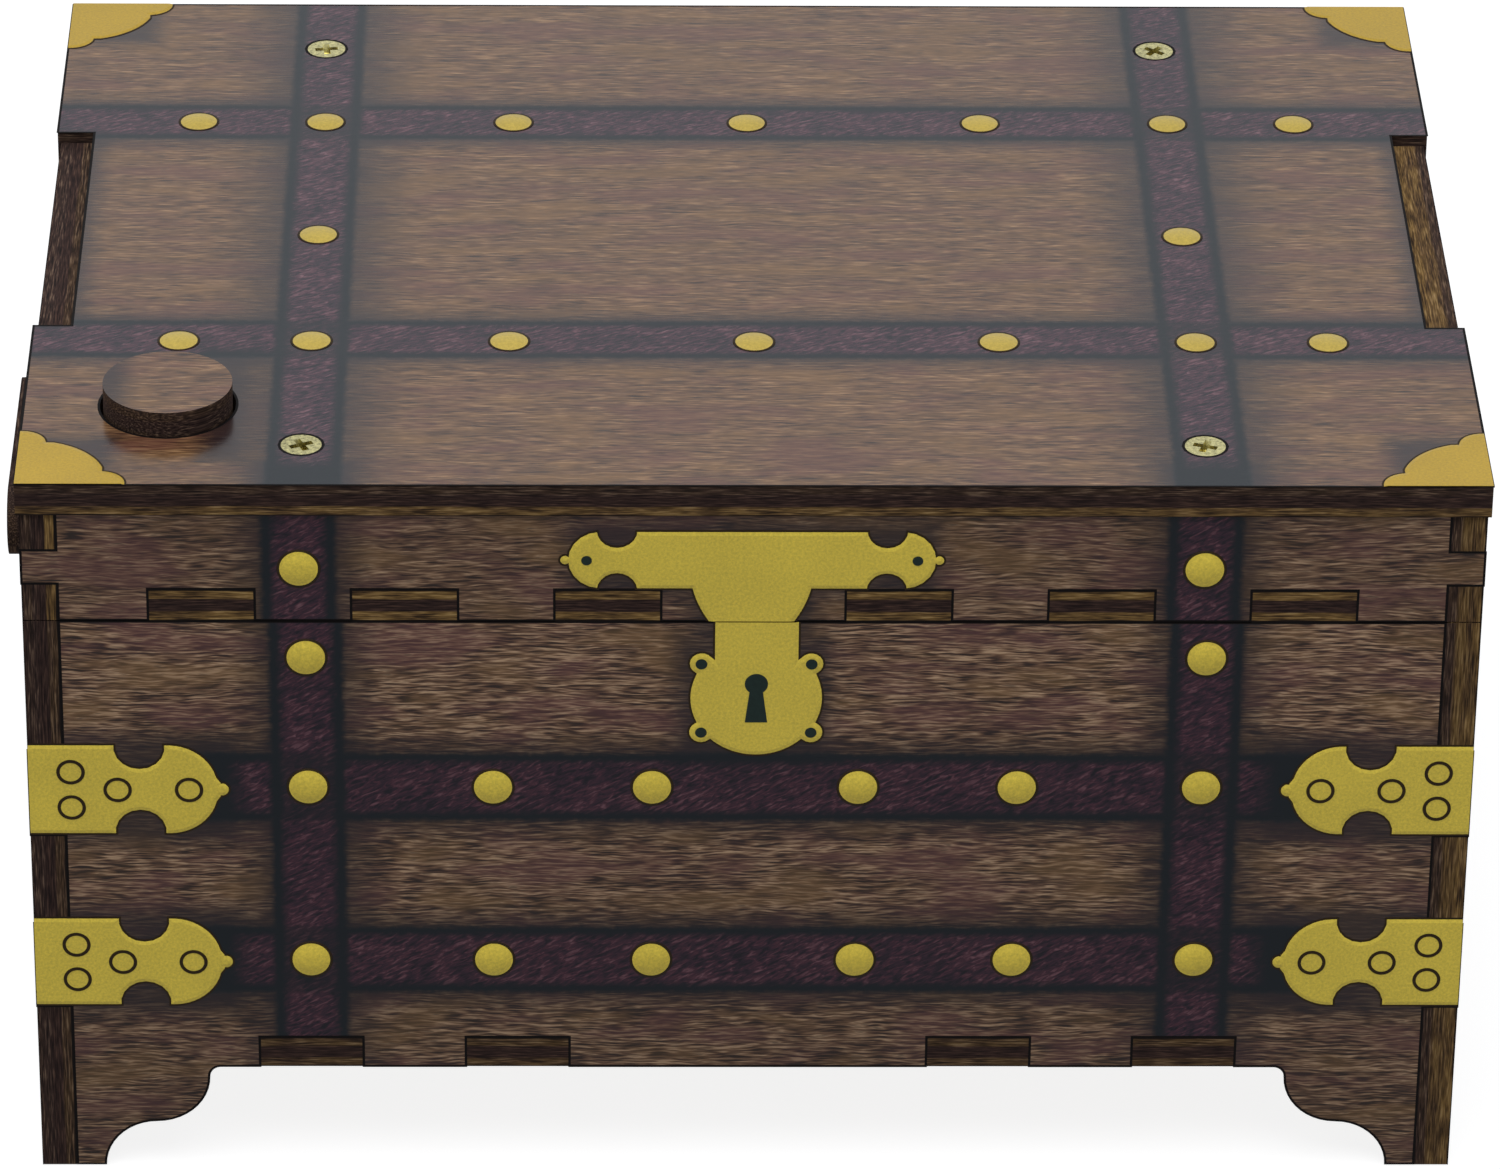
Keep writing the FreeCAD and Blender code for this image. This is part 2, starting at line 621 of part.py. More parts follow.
def hinge_screw_places(middle, direction):
    """Screw heads of one leaf: below the hinge axis for direction -1, above it for 1."""
    z = HINGE_Z + direction * (LEAF_EDGE + LEAF_H / 2)
    return [
        Vector(middle + side * HINGE_SCREW_STEP / 2, HALF_D + LEAF_T, z)
        for side in (-1, 1)]


def hinge_screw_hole(place):
    return countersunk_hole(HINGE_HEAD_R, HINGE_SCREW_R, HINGE_SCREW_L, place, -Y_AXIS)


def cut_hinge_screws(wall, direction):
    for middle in (-HINGE_X, HINGE_X):
        for place in hinge_screw_places(middle, direction):
            wall = wall.cut(hinge_screw_hole(place))
    return wall


def hinge_leaf(middle, direction, knuckles, bore):
    """One leaf with its rolled knuckles, open for the pin and the screws."""
    leaf_y = (HALF_D, HALF_D + LEAF_T)
    near = HINGE_Z + direction * LEAF_EDGE
    far = near + direction * LEAF_H
    pieces = [block((middle - HINGE_W / 2, middle + HINGE_W / 2), leaf_y, sorted((near, far)))]
    axis_start = Vector(middle - HINGE_W, HINGE_Y, HINGE_Z)
    axis_end = Vector(middle + HINGE_W, HINGE_Y, HINGE_Z)
    for left in knuckles:
        span = (middle + left, middle + left + KNUCKLE_L)
        pieces.append(block(span, leaf_y, sorted((near, HINGE_Z))))
        roll_start = Vector(span[0], HINGE_Y, HINGE_Z)
        pieces.append(faceted_rod(KNUCKLE_R, roll_start, roll_start + X_AXIS * KNUCKLE_L, HINGE_SIDES))
    leaf = joined(pieces).cut(faceted_rod(bore, axis_start, axis_end, HINGE_SIDES))
    for place in hinge_screw_places(middle, direction):
        leaf = leaf.cut(hinge_screw_hole(place))
    return leaf


def make_hinges():
    outer = [-HINGE_W / 2, HINGE_W / 2 - KNUCKLE_L]
    inner = [-KNUCKLE_L / 2]
    base_leaves = []
    lid_leaves = []
    pins = []
    base_screws = []
    lid_screws = []
    for middle in (-HINGE_X, HINGE_X):
        base_leaves.append(hinge_leaf(middle, -1, outer, HINGE_PIN_R + SCREW_CLEAR))
        lid_leaf = hinge_leaf(middle, 1, inner, HINGE_PIN_R + RUNNING_CLEAR)
        stop = block(
            (middle - KNUCKLE_L / 2, middle + KNUCKLE_L / 2),
            (HINGE_Y + KNUCKLE_R - STOP_T / 2, HINGE_Y + STOP_REACH),
            (HINGE_Z - STOP_T / 2, HINGE_Z + STOP_T / 2))
        lid_leaves.append(joined([lid_leaf, stop]))
        pin_start = Vector(middle - HINGE_W / 2, HINGE_Y, HINGE_Z)
        pins.append(faceted_rod(HINGE_PIN_R, pin_start, pin_start + X_AXIS * HINGE_W, HINGE_SIDES))
        for direction, screws in ((-1, base_screws), (1, lid_screws)):
            for place in hinge_screw_places(middle, direction):
                screws.append(countersunk(HINGE_HEAD_R, HINGE_SCREW_R, HINGE_SCREW_L, place, -Y_AXIS))
    save("hinge_base_leaves", *base_leaves)
    save("hinge_lid_leaves", *lid_leaves)
    save("hinge_pins", *pins)
    save("hinge_base_screws", *base_screws)
    save("hinge_lid_screws", *lid_screws)


# Jack

def upright_disc(radius, low, high):
    return rod(radius, Vector(0, 0, low), Vector(0, 0, high))


def faceted_disc(radius, low, high):
    """A disc on the jack's axis that the gown or the ruff hides."""
    return faceted_rod(radius, Vector(0, 0, low), Vector(0, 0, high), DISC_SIDES)


def ball(radius, middle, sides):
    """A turned ball in flat facets, with a small flat at each end."""
    bands = sides // 2
    rings = []
    for step in range(bands):
        angle = math.pi * (step + 0.5) / bands - math.pi / 2
        height = Vector(0, 0, radius * math.sin(angle))
        rings.append(ring(middle + height, radius * math.cos(angle), sides, X_AXIS, Y_AXIS))
    return skinned(rings).removeSplitter()


def make_spring_and_discs():
    save("spring_seat", faceted_disc(DISC_R, FLOOR_TOP, SEAT_TOP))
    save("seat_boss", faceted_disc(BOSS_R, SEAT_TOP, SEAT_TOP + BOSS_T))
    dowel_hole = DOWEL_R + SCREW_CLEAR
    platform = faceted_disc(DISC_R, PLATFORM_LOW, PLATFORM_TOP)
    save("jack_platform", platform.cut(upright_disc(dowel_hole, PLATFORM_LOW - CUT, PLATFORM_TOP + CUT)))
    save("platform_boss", faceted_disc(BOSS_R, PLATFORM_LOW - BOSS_T, PLATFORM_LOW))
    save("jack_spring", coil_spring(SEAT_TOP, PLATFORM_LOW))


def coil_spring(low, high):
    """Squeezed coil between two flat faces, in straight lengths of many-sided wire."""
    room = high - low - WIRE
    turns = int(room / COIL_PITCH)
    steps = turns * COIL_STEPS
    rings = []
    for step in range(steps + 1):
        angle = 2 * math.pi * step / COIL_STEPS
        outward = Vector(math.cos(angle), math.sin(angle), 0)
        middle = outward * COIL_R + Vector(0, 0, low + WIRE / 2 + room * step / steps)
        rings.append(ring(middle, WIRE / 2, WIRE_SIDES, outward, Z_AXIS))
    return skinned(rings)


def make_head():
    middle = Vector(0, 0, HEAD_Z)
    dowel_top = HEAD_Z - HEAD_R + DOWEL_IN_HEAD
    dowel_hole = upright_disc(DOWEL_R + SCREW_CLEAR, HEAD_Z - HEAD_R - CUT, dowel_top + SCREW_CLEAR)
    stem_start = Vector(0, -HEAD_R, HEAD_Z)
    stem_end = stem_start + Y_AXIS * NOSE_STEM_L
    stem_hole = rod(NOSE_STEM_R + SCREW_CLEAR, stem_start - Y_AXIS * CUT, stem_end + Y_AXIS * SCREW_CLEAR)
    head = ball(HEAD_R, middle, HEAD_SIDES).cut(dowel_hole).cut(stem_hole)
    save("head", head)
    save("neck_dowel", upright_disc(DOWEL_R, PLATFORM_LOW, dowel_top))
    nose_middle = Vector(0, NOSE_SUNK - HEAD_R - NOSE_R, HEAD_Z)
    nose = ball(NOSE_R, nose_middle, SMALL_SIDES)
    save("nose", joined([nose, rod(NOSE_STEM_R, nose_middle, stem_end)]))


def horn_path(turn):
    """Middles and radii along a drooping horn that leaves the cap in the direction turn."""
    outward = Vector(math.cos(turn), math.sin(turn), 0)
    middles = []
    radii = []
    for step in range(HORN_STEPS + 1):
        share = step / HORN_STEPS
        bend = math.radians(HORN_START + (HORN_END - HORN_START) * share)
        reach = HEAD_R + HORN_OUT + HORN_BEND_W * math.cos(bend)
        rise = HORN_UP + HORN_BEND_H * math.sin(bend)
        middles.append(outward * reach + Vector(0, 0, HEAD_Z + rise))
        radii.append(HORN_ROOT_R + (HORN_TIP_R - HORN_ROOT_R) * share)
    return outward, middles, radii


def horn(outward, middles, radii):
    """A tapered tube of felt along a horn's middles."""
    sideways = Z_AXIS.cross(outward)
    rings = []
    for index, place in enumerate(middles):
        before = middles[max(index - 1, 0)]
        after = middles[min(index + 1, len(middles) - 1)]
        upward = (after - before).normalize().cross(sideways)
        rings.append(ring(place, radii[index], SMALL_SIDES, sideways, upward))
    return skinned(rings)


def make_cap():
    middle = Vector(0, 0, HEAD_Z)
    outer_r = HEAD_R + CAP_T
    brim_z = HEAD_Z + CAP_BRIM
    below_brim = block((-outer_r, outer_r), (-outer_r, outer_r), (HEAD_Z - outer_r, brim_z))
    pieces = [ball(outer_r, middle, HEAD_SIDES).cut(below_brim)]
    bells = []
    for turn in (0, math.pi / 2, math.pi):
        outward, middles, radii = horn_path(turn)
        pieces.append(horn(outward, middles, radii))
        tip_way = (middles[-1] - middles[-2]).normalize()
        bells.append(ball(BELL_R, middles[-1] + tip_way * (BELL_R + BELL_CLEAR), SMALL_SIDES))
    cap = joined(pieces).cut(ball(HEAD_R + CAP_CLEAR, middle, HEAD_SIDES))
    save("jester_cap", cap)
    save("cap_bells", *bells)


def make_ruff():
    points = []
    for step in range(2 * RUFF_PLEATS):
        angle = math.pi * step / RUFF_PLEATS
        radius = RUFF_R - RUFF_PLEAT_DEEP * (step % 2)
        points.append(Vector(radius * math.cos(angle), radius * math.sin(angle), PLATFORM_TOP))
    ruff = polygon_face(points).extrude(Vector(0, 0, RUFF_T))
    save("ruff_collar", ruff.cut(faceted_disc(RUFF_HOLE_R, PLATFORM_TOP - CUT, PLATFORM_TOP + RUFF_T + CUT)))


def faceted_tube(outline):
    """A many-sided tube through (radius, height) pairs."""
    rings = [ring(Vector(0, 0, z), radius, GOWN_SIDES, X_AXIS, Y_AXIS) for radius, z in outline]
    return skinned(rings).removeSplitter()


def make_gown():
    """Cloth round the squeezed spring, from the base floor to the platform's rim."""
    # The flat sides of a many-sided ring lie nearer to the middle than its corners.
    inside = (DISC_R + GOWN_CLEAR) / math.cos(math.pi / GOWN_SIDES)
    waist_z = (FLOOR_TOP + PLATFORM_TOP) / 2
    hem_top = PLATFORM_TOP + GOWN_T
    outside = faceted_tube([(inside + GOWN_T, FLOOR_TOP), (GOWN_R, waist_z), (inside + GOWN_T, hem_top)])
    hollow = faceted_tube([(inside, FLOOR_TOP), (GOWN_R - GOWN_T, waist_z), (inside, PLATFORM_TOP)])
    neck = faceted_tube([(DISC_R - GOWN_HEM, PLATFORM_TOP - CUT), (DISC_R - GOWN_HEM, hem_top + CUT)])
    save("gown", outside.cut(hollow).cut(neck))


os.makedirs("parts", exist_ok=True)
make_base()
make_lid_box()
make_lid_screws()
make_button()
make_latch()
make_pin_cover()
make_keeper()
make_hinges()
make_spring_and_discs()
make_head()
make_cap()
make_ruff()
make_gown()
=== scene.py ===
"""Looks of a push-button toy chest with a jack inside: printed plywood, brass and felt."""
import math

import bmesh
import bpy
from mathutils import Matrix, Vector


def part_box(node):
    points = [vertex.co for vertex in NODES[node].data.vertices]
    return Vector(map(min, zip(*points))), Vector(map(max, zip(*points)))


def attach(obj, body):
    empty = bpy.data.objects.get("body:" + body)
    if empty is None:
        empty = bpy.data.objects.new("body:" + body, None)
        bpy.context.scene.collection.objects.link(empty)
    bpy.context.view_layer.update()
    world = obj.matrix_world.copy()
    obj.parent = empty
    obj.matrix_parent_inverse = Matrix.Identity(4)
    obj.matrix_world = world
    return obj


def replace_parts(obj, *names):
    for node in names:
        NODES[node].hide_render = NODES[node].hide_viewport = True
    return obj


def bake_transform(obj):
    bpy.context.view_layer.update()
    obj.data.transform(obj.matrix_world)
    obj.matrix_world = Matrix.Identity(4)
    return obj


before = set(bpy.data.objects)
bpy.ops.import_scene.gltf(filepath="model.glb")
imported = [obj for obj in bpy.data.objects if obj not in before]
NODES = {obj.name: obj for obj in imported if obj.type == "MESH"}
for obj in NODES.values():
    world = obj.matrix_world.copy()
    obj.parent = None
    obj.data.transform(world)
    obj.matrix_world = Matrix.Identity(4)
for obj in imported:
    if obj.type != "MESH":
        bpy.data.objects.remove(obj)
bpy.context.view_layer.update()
MM = 0.001
SIDES = (-1, 1)             # left and right

# Sizes are in millimetres, in the frame's own axes, unless a name says otherwise.


def box_mm(node):
    low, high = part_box(node)
    return low / MM, high / MM


PLY = 4.0                   # sheet thickness of every cut piece
FRONT_Y = box_mm("base_front_wall")[0].y
BACK_Y = box_mm("base_back_wall")[1].y
LEFT_X = box_mm("base_left_wall")[0].x
RIGHT_X = box_mm("base_right_wall")[1].x
SEAM_Z = box_mm("base_front_wall")[1].z
TOP_LOW, TOP_HIGH = box_mm("lid_top")
MIDDLE_Y = (FRONT_Y + BACK_Y) / 2

# The print: leather straps, brass studs and plates on wood grain.
STRAP_X = 52.0              # upright straps, from the middle of the front, back and top
WALL_ROWS = (52.75, 29.0)   # heights of the straps round the walls
PLATE_ROWS = (52.4, 28.7)   # and of the corner plates
TOP_ROWS = (MIDDLE_Y + 29.4, MIDDLE_Y - 27.2)
ROW_REACH = 66.0            # front and back straps end here, under the corner plates
ROW_HALF, ROW_LEATHER = 4.65, 3.25          # from a level strap's middle to its border's outside and inside
COLUMN_HALF, COLUMN_LEATHER = 4.4, 2.9      # and from an upright strap's
ROW_SHADE = 4.0             # airbrushed shade beside a level strap
WALL_SHADE, TOP_SHADE = 6.0, 9.5            # and beside an upright one, on the walls and on the top
PLATE_SHADE = 3.6           # and round brass plates
BASE_PRINT_SHIFT = 0.45     # the base's print sits a little to the right
LID_PRINT_SHIFT = -0.2      # the lid's front print a little to the left
TOP_PRINT_SHIFT = 0.45      # and the top's to the right
PLATE_SHIFTS = {-1: 0.2, 1: 0.8}    # the front's corner plates, left and right
PRINT_T = 0.03              # thickness of a printed layer

# The jack
JACK_Y = (box_mm("spring_seat")[0].y + box_mm("spring_seat")[1].y) / 2
JACK_RISE = 77.0            # from squeezed to sprung
FLOOR_Z, SEAT_Z = (corner.z for corner in box_mm("spring_seat"))
PLATFORM_LOW, PLATFORM_Z = (corner.z for corner in box_mm("jack_platform"))
HEAD_R = 15.0
NECK = 3.0                  # from the platform to the head
HEAD_MIDDLE = Vector((0, JACK_Y, PLATFORM_Z + NECK + HEAD_R))
RUFF_IN, RUFF_OUT = 8.9, 21.0
RUFF_HEM = RUFF_OUT - 1.1   # where the ruff's red hem begins
GOWN_STRIPES = 8


class Face:
    """One printed face: which way runs across it, up it and out of it, and how far out it lies."""

    def __init__(self, across, up, level):
        self.across = Vector(across)
        self.up = Vector(up)
        self.out = self.across.cross(self.up)
        self.level = level

    def moved(self, level):
        """A face that looks the same way, at another level."""
        return Face(self.across, self.up, level)

    def matrix(self, lift=0.0):
        """Takes (across, up, out) in millimetres to the frame in metres."""
        turn = Matrix((self.across, self.up, self.out)).transposed().to_4x4()
        place = Matrix.Translation(self.out * (self.level + lift))
        return Matrix.Scale(MM, 4) @ place @ turn


FRONT = Face((1, 0, 0), (0, 0, 1), -FRONT_Y)
BACK = Face((-1, 0, 0), (0, 0, 1), BACK_Y)
LEFT = Face((0, -1, 0), (0, 0, 1), -LEFT_X)
RIGHT = Face((0, 1, 0), (0, 0, 1), RIGHT_X)
TOP = Face((1, 0, 0), (0, 1, 0), TOP_HIGH.z)


# Shader wiring

# A group's sockets hold numbers, apart from these.
SOCKET_KINDS = {"Color": "NodeSocketColor", "Tint": "NodeSocketColor", "Place": "NodeSocketVector"}


def srgb(red, green, blue):
    """A colour as it looks on screen, from 0 to 255, as the linear colour that a shader takes."""
    shares = [value / 255 for value in (red, green, blue)]
    linear = [s / 12.92 if s <= 0.04045 else ((s + 0.055) / 1.055) ** 2.4 for s in shares]
    return (*linear, 1.0)


class Signal:
    """A number, vector or colour that a shader node puts out. Numbers can be added, multiplied and so on."""

    def __init__(self, w, socket):
        self.w = w
        self.socket = socket

    def __add__(self, other):
        return self.w.math("ADD", self, other)

    def __sub__(self, other):
        return self.w.math("SUBTRACT", self, other)

    def __rsub__(self, other):
        return self.w.math("SUBTRACT", other, self)

    def __mul__(self, other):
        return self.w.math("MULTIPLY", self, other)

    def __truediv__(self, other):
        return self.w.math("DIVIDE", self, other)

    def __abs__(self):
        return self.w.math("ABSOLUTE", self)


class Wiring:
    """One shader tree, with short calls that add a node and link what it is given."""

    def __init__(self, tree):
        self.tree = tree

    def feed(self, value, socket):
        if isinstance(value, Signal):
            self.tree.links.new(value.socket, socket)
        elif value is not None:
            socket.default_value = value

    def add(self, kind, *values, **settings):
        """A new node with its settings, fed with values in the order of its inputs."""
        made = self.tree.nodes.new("ShaderNode" + kind)
        for key, value in settings.items():
            setattr(made, key, value)
        for value, socket in zip(values, made.inputs):
            self.feed(value, socket)
        return made

    def one(self, kind, *values, output=0, **settings):
        """One output of a new node."""
        return Signal(self, self.add(kind, *values, **settings).outputs[output])

    def wire(self, made, **values):
        """Feeds a node's inputs by name and gives back its outputs by name."""
        for name, value in values.items():
            self.feed(value, made.inputs[name.replace("_", " ")])
        return {socket.name: Signal(self, socket) for socket in made.outputs}

    def math(self, operation, *values):
        return self.one("Math", *values, operation=operation)

    def vector(self, x, y, z=0.0):
        return self.one("CombineXYZ", x, y, z)

    def dot(self, one, other):
        return self.one("VectorMath", one, other, output="Value", operation="DOT_PRODUCT")

    def noise(self, place, scale=1.0, detail=2.0, roughness=0.5, distortion=0.0):
        return self.wire(self.add("TexNoise"), Vector=place, Scale=scale, Detail=detail,
                         Roughness=roughness, Distortion=distortion)["Fac"]

    def smooth(self, value, low, high):
        """0 below low and 1 above high, or the other way round where low is the larger."""
        ends = (low, high, 0.0, 1.0) if low < high else (high, low, 1.0, 0.0)
        return self.one("MapRange", value, *ends, interpolation_type="SMOOTHSTEP")

    def mix(self, share, low, high, blend="MIX"):
        """Between two colours, which are the node's inputs 6 and 7 and its output 2."""
        numbers_and_vectors = [None] * 5
        return self.one("Mix", share, *numbers_and_vectors, low, high, output=2, data_type="RGBA",
                        blend_type=blend)

    def blend(self, share, low, high):
        """Between two numbers, which are the node's inputs 2 and 3."""
        return self.one("Mix", share, None, low, high, data_type="FLOAT")

    def least(self, numbers):
        found = numbers[0]
        for number in numbers[1:]:
            found = self.math("MINIMUM", found, number)
        return found

    def ramp(self, share, *stops):
        """A colour by its place between stops, each a place and a colour as on screen."""
        made = self.add("ValToRGB", share)
        elements = made.color_ramp.elements
        while len(elements) < len(stops):
            elements.new(0.5)
        for element, (place, *colour) in zip(elements, stops):
            element.position = place
            element.color = srgb(*colour)
        return Signal(self, made.outputs[0])

    def group(self, tree, **values):
        return self.wire(self.add("Group", node_tree=tree), **values)

    def bump(self, height, strength, depth_mm):
        return self.wire(self.add("Bump"), Strength=strength, Distance=depth_mm * MM, Height=height)["Normal"]

    def place(self):
        """The piece's own coordinates in millimetres."""
        metres = self.one("TexCoord", output="Object")
        return self.wire(self.add("VectorMath", metres, operation="SCALE"), Scale=1 / MM)["Vector"]

    def normal(self):
        return self.one("TexCoord", output="Normal")

    def surface(self, **values):
        """Feeds a material's surface shader."""
        self.wire(self.tree.nodes["Principled BSDF"], **values)

    def add_sockets(self, names, in_out):
        for name in names:
            kind = SOCKET_KINDS.get(name, "NodeSocketFloat")
            self.tree.interface.new_socket(name, in_out=in_out, socket_type=kind)

    def close_group(self, **results):
        """Gives a group its results, and gives back its tree."""
        self.add_sockets(results, "OUTPUT")
        self.wire(self.tree.nodes.new("NodeGroupOutput"), **results)
        return self.tree


def shader_group(name, *inputs):
    """A new node group's wiring, followed by each of its inputs."""
    w = Wiring(bpy.data.node_groups.new(name, "ShaderNodeTree"))
    w.add_sockets(inputs, "INPUT")
    given = w.wire(w.tree.nodes.new("NodeGroupInput"))
    return w, *[given[label] for label in inputs]


def new_material(name):
    """A material and its wiring."""
    material = bpy.data.materials.new(name)
    material.use_nodes = True
    return material, Wiring(material.node_tree)


# Shared effects


def wood_grain_group():
    """Printed wood: long thin dark and light lines along the grain, in millimetres."""
    w, along, across, contrast, seed = shader_group("wood_grain", "Along", "Across", "Contrast", "Seed")

    def lines(length, height, height_place=across, detail=1):
        return w.noise(w.vector(along / length, height_place / height, seed), 1.0, detail)

    swayed = lines(40, 12) * 2.0 + across
    rippled = lines(4.5, 1.8, swayed) * 0.6 + swayed
    patches = lines(16, 5, detail=2)
    broad = lines(18, 1.6, rippled)
    streak = lines(3.8, 0.34, rippled)
    fine = lines(2.4, 0.19, rippled)
    tone = streak * 0.4 + fine * 0.44 + broad * 0.16
    colour = w.ramp((tone - 0.5) * contrast + 0.5, (0.36, 34, 22, 18), (0.46, 84, 61, 48),
                    (0.54, 118, 91, 71), (0.66, 176, 146, 118))
    colour = w.mix(w.smooth(patches, 0.48, 0.66) * 0.5, colour, srgb(96, 62, 62))
    colour = w.mix(w.smooth(patches, 0.48, 0.32) * 0.45, colour, srgb(120, 92, 60))
    dark_lines = w.smooth(fine, 0.58, 0.72)
    colour = w.mix(dark_lines * 0.7, colour, srgb(34, 23, 21))
    return w.close_group(Color=colour, Height=tone - dark_lines * 0.4)


def leather_group():
    """Printed leather: slanting strokes on dark burgundy."""
    w, along, across, seed = shader_group("strap_leather", "Along", "Across", "Seed")
    slant = math.radians(28)
    stroke_along = along * math.cos(slant) + across * math.sin(slant)
    stroke_across = across * math.cos(slant) - along * math.sin(slant)
    strokes = w.noise(w.vector(stroke_along / 1.5, stroke_across / 0.4, seed), 1.0, 2, 0.55, 0.7)
    patches = w.noise(w.vector(along / 5, across / 4, seed))
    tone = patches * 0.25 + strokes * 0.75
    colour = w.ramp(tone, (0.37, 25, 23, 31), (0.47, 49, 35, 46), (0.56, 70, 44, 54), (0.70, 114, 82, 90))
    return w.close_group(Color=colour, Height=tone)


def chest_print_group(wood, leather):
    """The whole print of one face, from the distances to its straps and to what else is shaded.

    Ink tells where the straps lie, which shine less than the rest."""
    w, across, up, to_column, column_shade, to_row, to_shaded, contrast, tint, seed = shader_group(
        "chest_print", "Across", "Up", "Column distance", "Column shade", "Row distance", "Shaded distance",
        "Contrast", "Tint", "Seed")
    grain = w.group(wood, Along=across, Across=up, Contrast=contrast, Seed=seed)
    tinted = w.mix(1.0, grain["Color"], tint, "MULTIPLY")
    strap = w.group(leather, Along=across, Across=up, Seed=seed)
    ragged = w.noise(w.vector(across, up, seed), 1.3, 3) * 0.8 - 0.4
    rows, columns, shaded = (distance + ragged for distance in (to_row, to_column, to_shaded))
    beside = (columns - COLUMN_HALF) / column_shade
    near = w.smooth(shaded, PLATE_SHADE, -0.5)
    clear = 1.0
    for shade in (w.smooth(rows, ROW_HALF + ROW_SHADE, ROW_HALF - 1.0), w.smooth(beside, 1.0, -0.25), near):
        clear = (1.0 - shade * 0.85) * clear
    borders, insides = [], []
    straps = ((rows, ROW_HALF, ROW_LEATHER), (columns, COLUMN_HALF, COLUMN_LEATHER))
    for distance, half, leather_half in straps:
        borders.append(w.smooth(distance, half + 0.45, half - 0.55))
        insides.append(w.smooth(distance, leather_half + 0.7, leather_half - 0.6))
    border_ink = srgb(19, 25, 31)
    border = w.math("MAXIMUM", *borders)
    inside = w.math("MAXIMUM", insides[0] * (1.0 - borders[1]), insides[1])
    inked_over = w.math("MAXIMUM", borders[0] * borders[1] * 0.6, border * near)
    colour = w.mix(clear, srgb(30, 22, 27), tinted)
    for share, layer in ((border, border_ink), (inside, strap["Color"]), (inked_over, border_ink)):
        colour = w.mix(share, colour, layer)
    return w.close_group(Color=colour, Height=w.blend(inside, grain["Height"], strap["Height"]), Ink=border)


def ply_edge_group():
    """A laser-cut edge: pale outer plies, a dark middle ply and soot, by the depth in the sheet."""
    w, depth, along, soot_depth, scorch, core = shader_group(
        "ply_edge", "Depth", "Along", "Soot depth", "Scorch", "Core")

    def streaks(length, height):
        return w.noise(w.vector(along / length, depth * (PLY / height)), roughness=0.6)

    fibres = streaks(3.0, 0.2)
    burnt = streaks(7.0, 1.2)
    wandering = streaks(9.0, 3.0) * 0.12 + (depth - 0.06)
    from_middle = abs(wandering - 0.5) * 2.0
    outer = w.ramp(fibres * 0.55 + burnt * 0.45, (0.38, 52, 38, 24), (0.48, 112, 86, 50),
                   (0.55, 148, 116, 66), (0.66, 198, 164, 106))
    charred = w.ramp(fibres, (0.36, 24, 17, 16), (0.54, 58, 43, 39), (0.70, 112, 92, 78))
    outer = w.mix(scorch, outer, charred)
    middle = w.ramp(fibres, (0.35, 27, 18, 17), (0.52, 49, 35, 32), (0.70, 82, 61, 52))
    middle = w.mix(core, outer, middle)
    colour = w.mix(w.smooth(from_middle, 0.36, 0.46), middle, outer)
    colour = w.mix(w.smooth(from_middle, 0.90, 0.97), colour, srgb(24, 17, 15))
    # The side that lay towards the beam comes out darker.
    sooty = w.smooth(wandering - soot_depth, 0.07, -0.07)
    return w.close_group(Color=w.mix(sooty * 0.9, colour, charred), Height=fibres)


def birch_group():
    """Bare plywood: pale birch with soft grain along one direction."""
    w, along, across, seed = shader_group("bare_birch", "Along", "Across", "Seed")
    grain = w.noise(w.vector(along / 22, across / 1.6, seed), 1.0, 4, 0.6, 0.3)
    flecks = w.noise(w.vector(along / 3.2, across / 0.35, seed), detail=1)
    colour = w.ramp(grain, (0.32, 176, 138, 94), (0.5, 206, 172, 126), (0.68, 224, 196, 154))
    colour = w.mix(w.smooth(flecks, 0.6, 0.74) * 0.4, colour, srgb(150, 112, 74))
    return w.close_group(Color=colour, Height=grain)


def speckle_group():
    """Fine uneven tone on a plain colour."""
    w, colour, place, scale, strength = shader_group("speckle", "Color", "Place", "Scale", "Strength")
    tone = w.noise(place, 0.12) * 0.2 + w.noise(place, scale, 4, 0.7) * 0.8
    lit = (tone - 0.5) * strength * 4.0 + 1.0
    grey = w.one("CombineColor", lit, lit, lit)
    return w.close_group(Color=w.mix(1.0, colour, grey, "MULTIPLY"), Tone=tone)


def woven_group():
    """Height of a fine plain weave."""
    w, place = shader_group("woven", "Place")
    lumps = w.noise(place, 2.4)
    drawn_out = w.one("VectorMath", place, (5, 5, 0.6), operation="MULTIPLY")
    threads = w.noise(drawn_out, detail=1)
    return w.close_group(Height=lumps * 0.5 + threads * 0.5)


CHEST_PRINT = chest_print_group(wood_grain_group(), leather_group())
PLY_EDGE = ply_edge_group()
BIRCH = birch_group()
SPECKLE = speckle_group()
WOVEN = woven_group()


# Materials of the plywood pieces

FAR = 1000.0                # a distance at which nothing of a strap or plate shows
PLAIN = (1, 1, 1, 1)
FOOT_SHADE_TINT, SEAM_LIGHT_TINT = (0.86, 0.86, 0.86, 1), (1.22, 1.22, 1.22, 1)     # painted shade at the feet and painted light at the seam, on the base's front
TOP_TINT = (0.97, 0.87, 0.69, 1)
EDGE_ROUGH, EDGE_SHINE = 0.8, 0.1   # of cut edges, and of a printed sheet's bare side
SQUARE_ON = (0.6, 0.7)      # how far a surface has to look along a direction to belong to that side


def box_distance(w, across, up, middle, half):
    """How far outside a box a place lies, and below zero inside it."""
    return w.math("MAXIMUM", abs(across - middle[0]) - half[0], abs(up - middle[1]) - half[1])


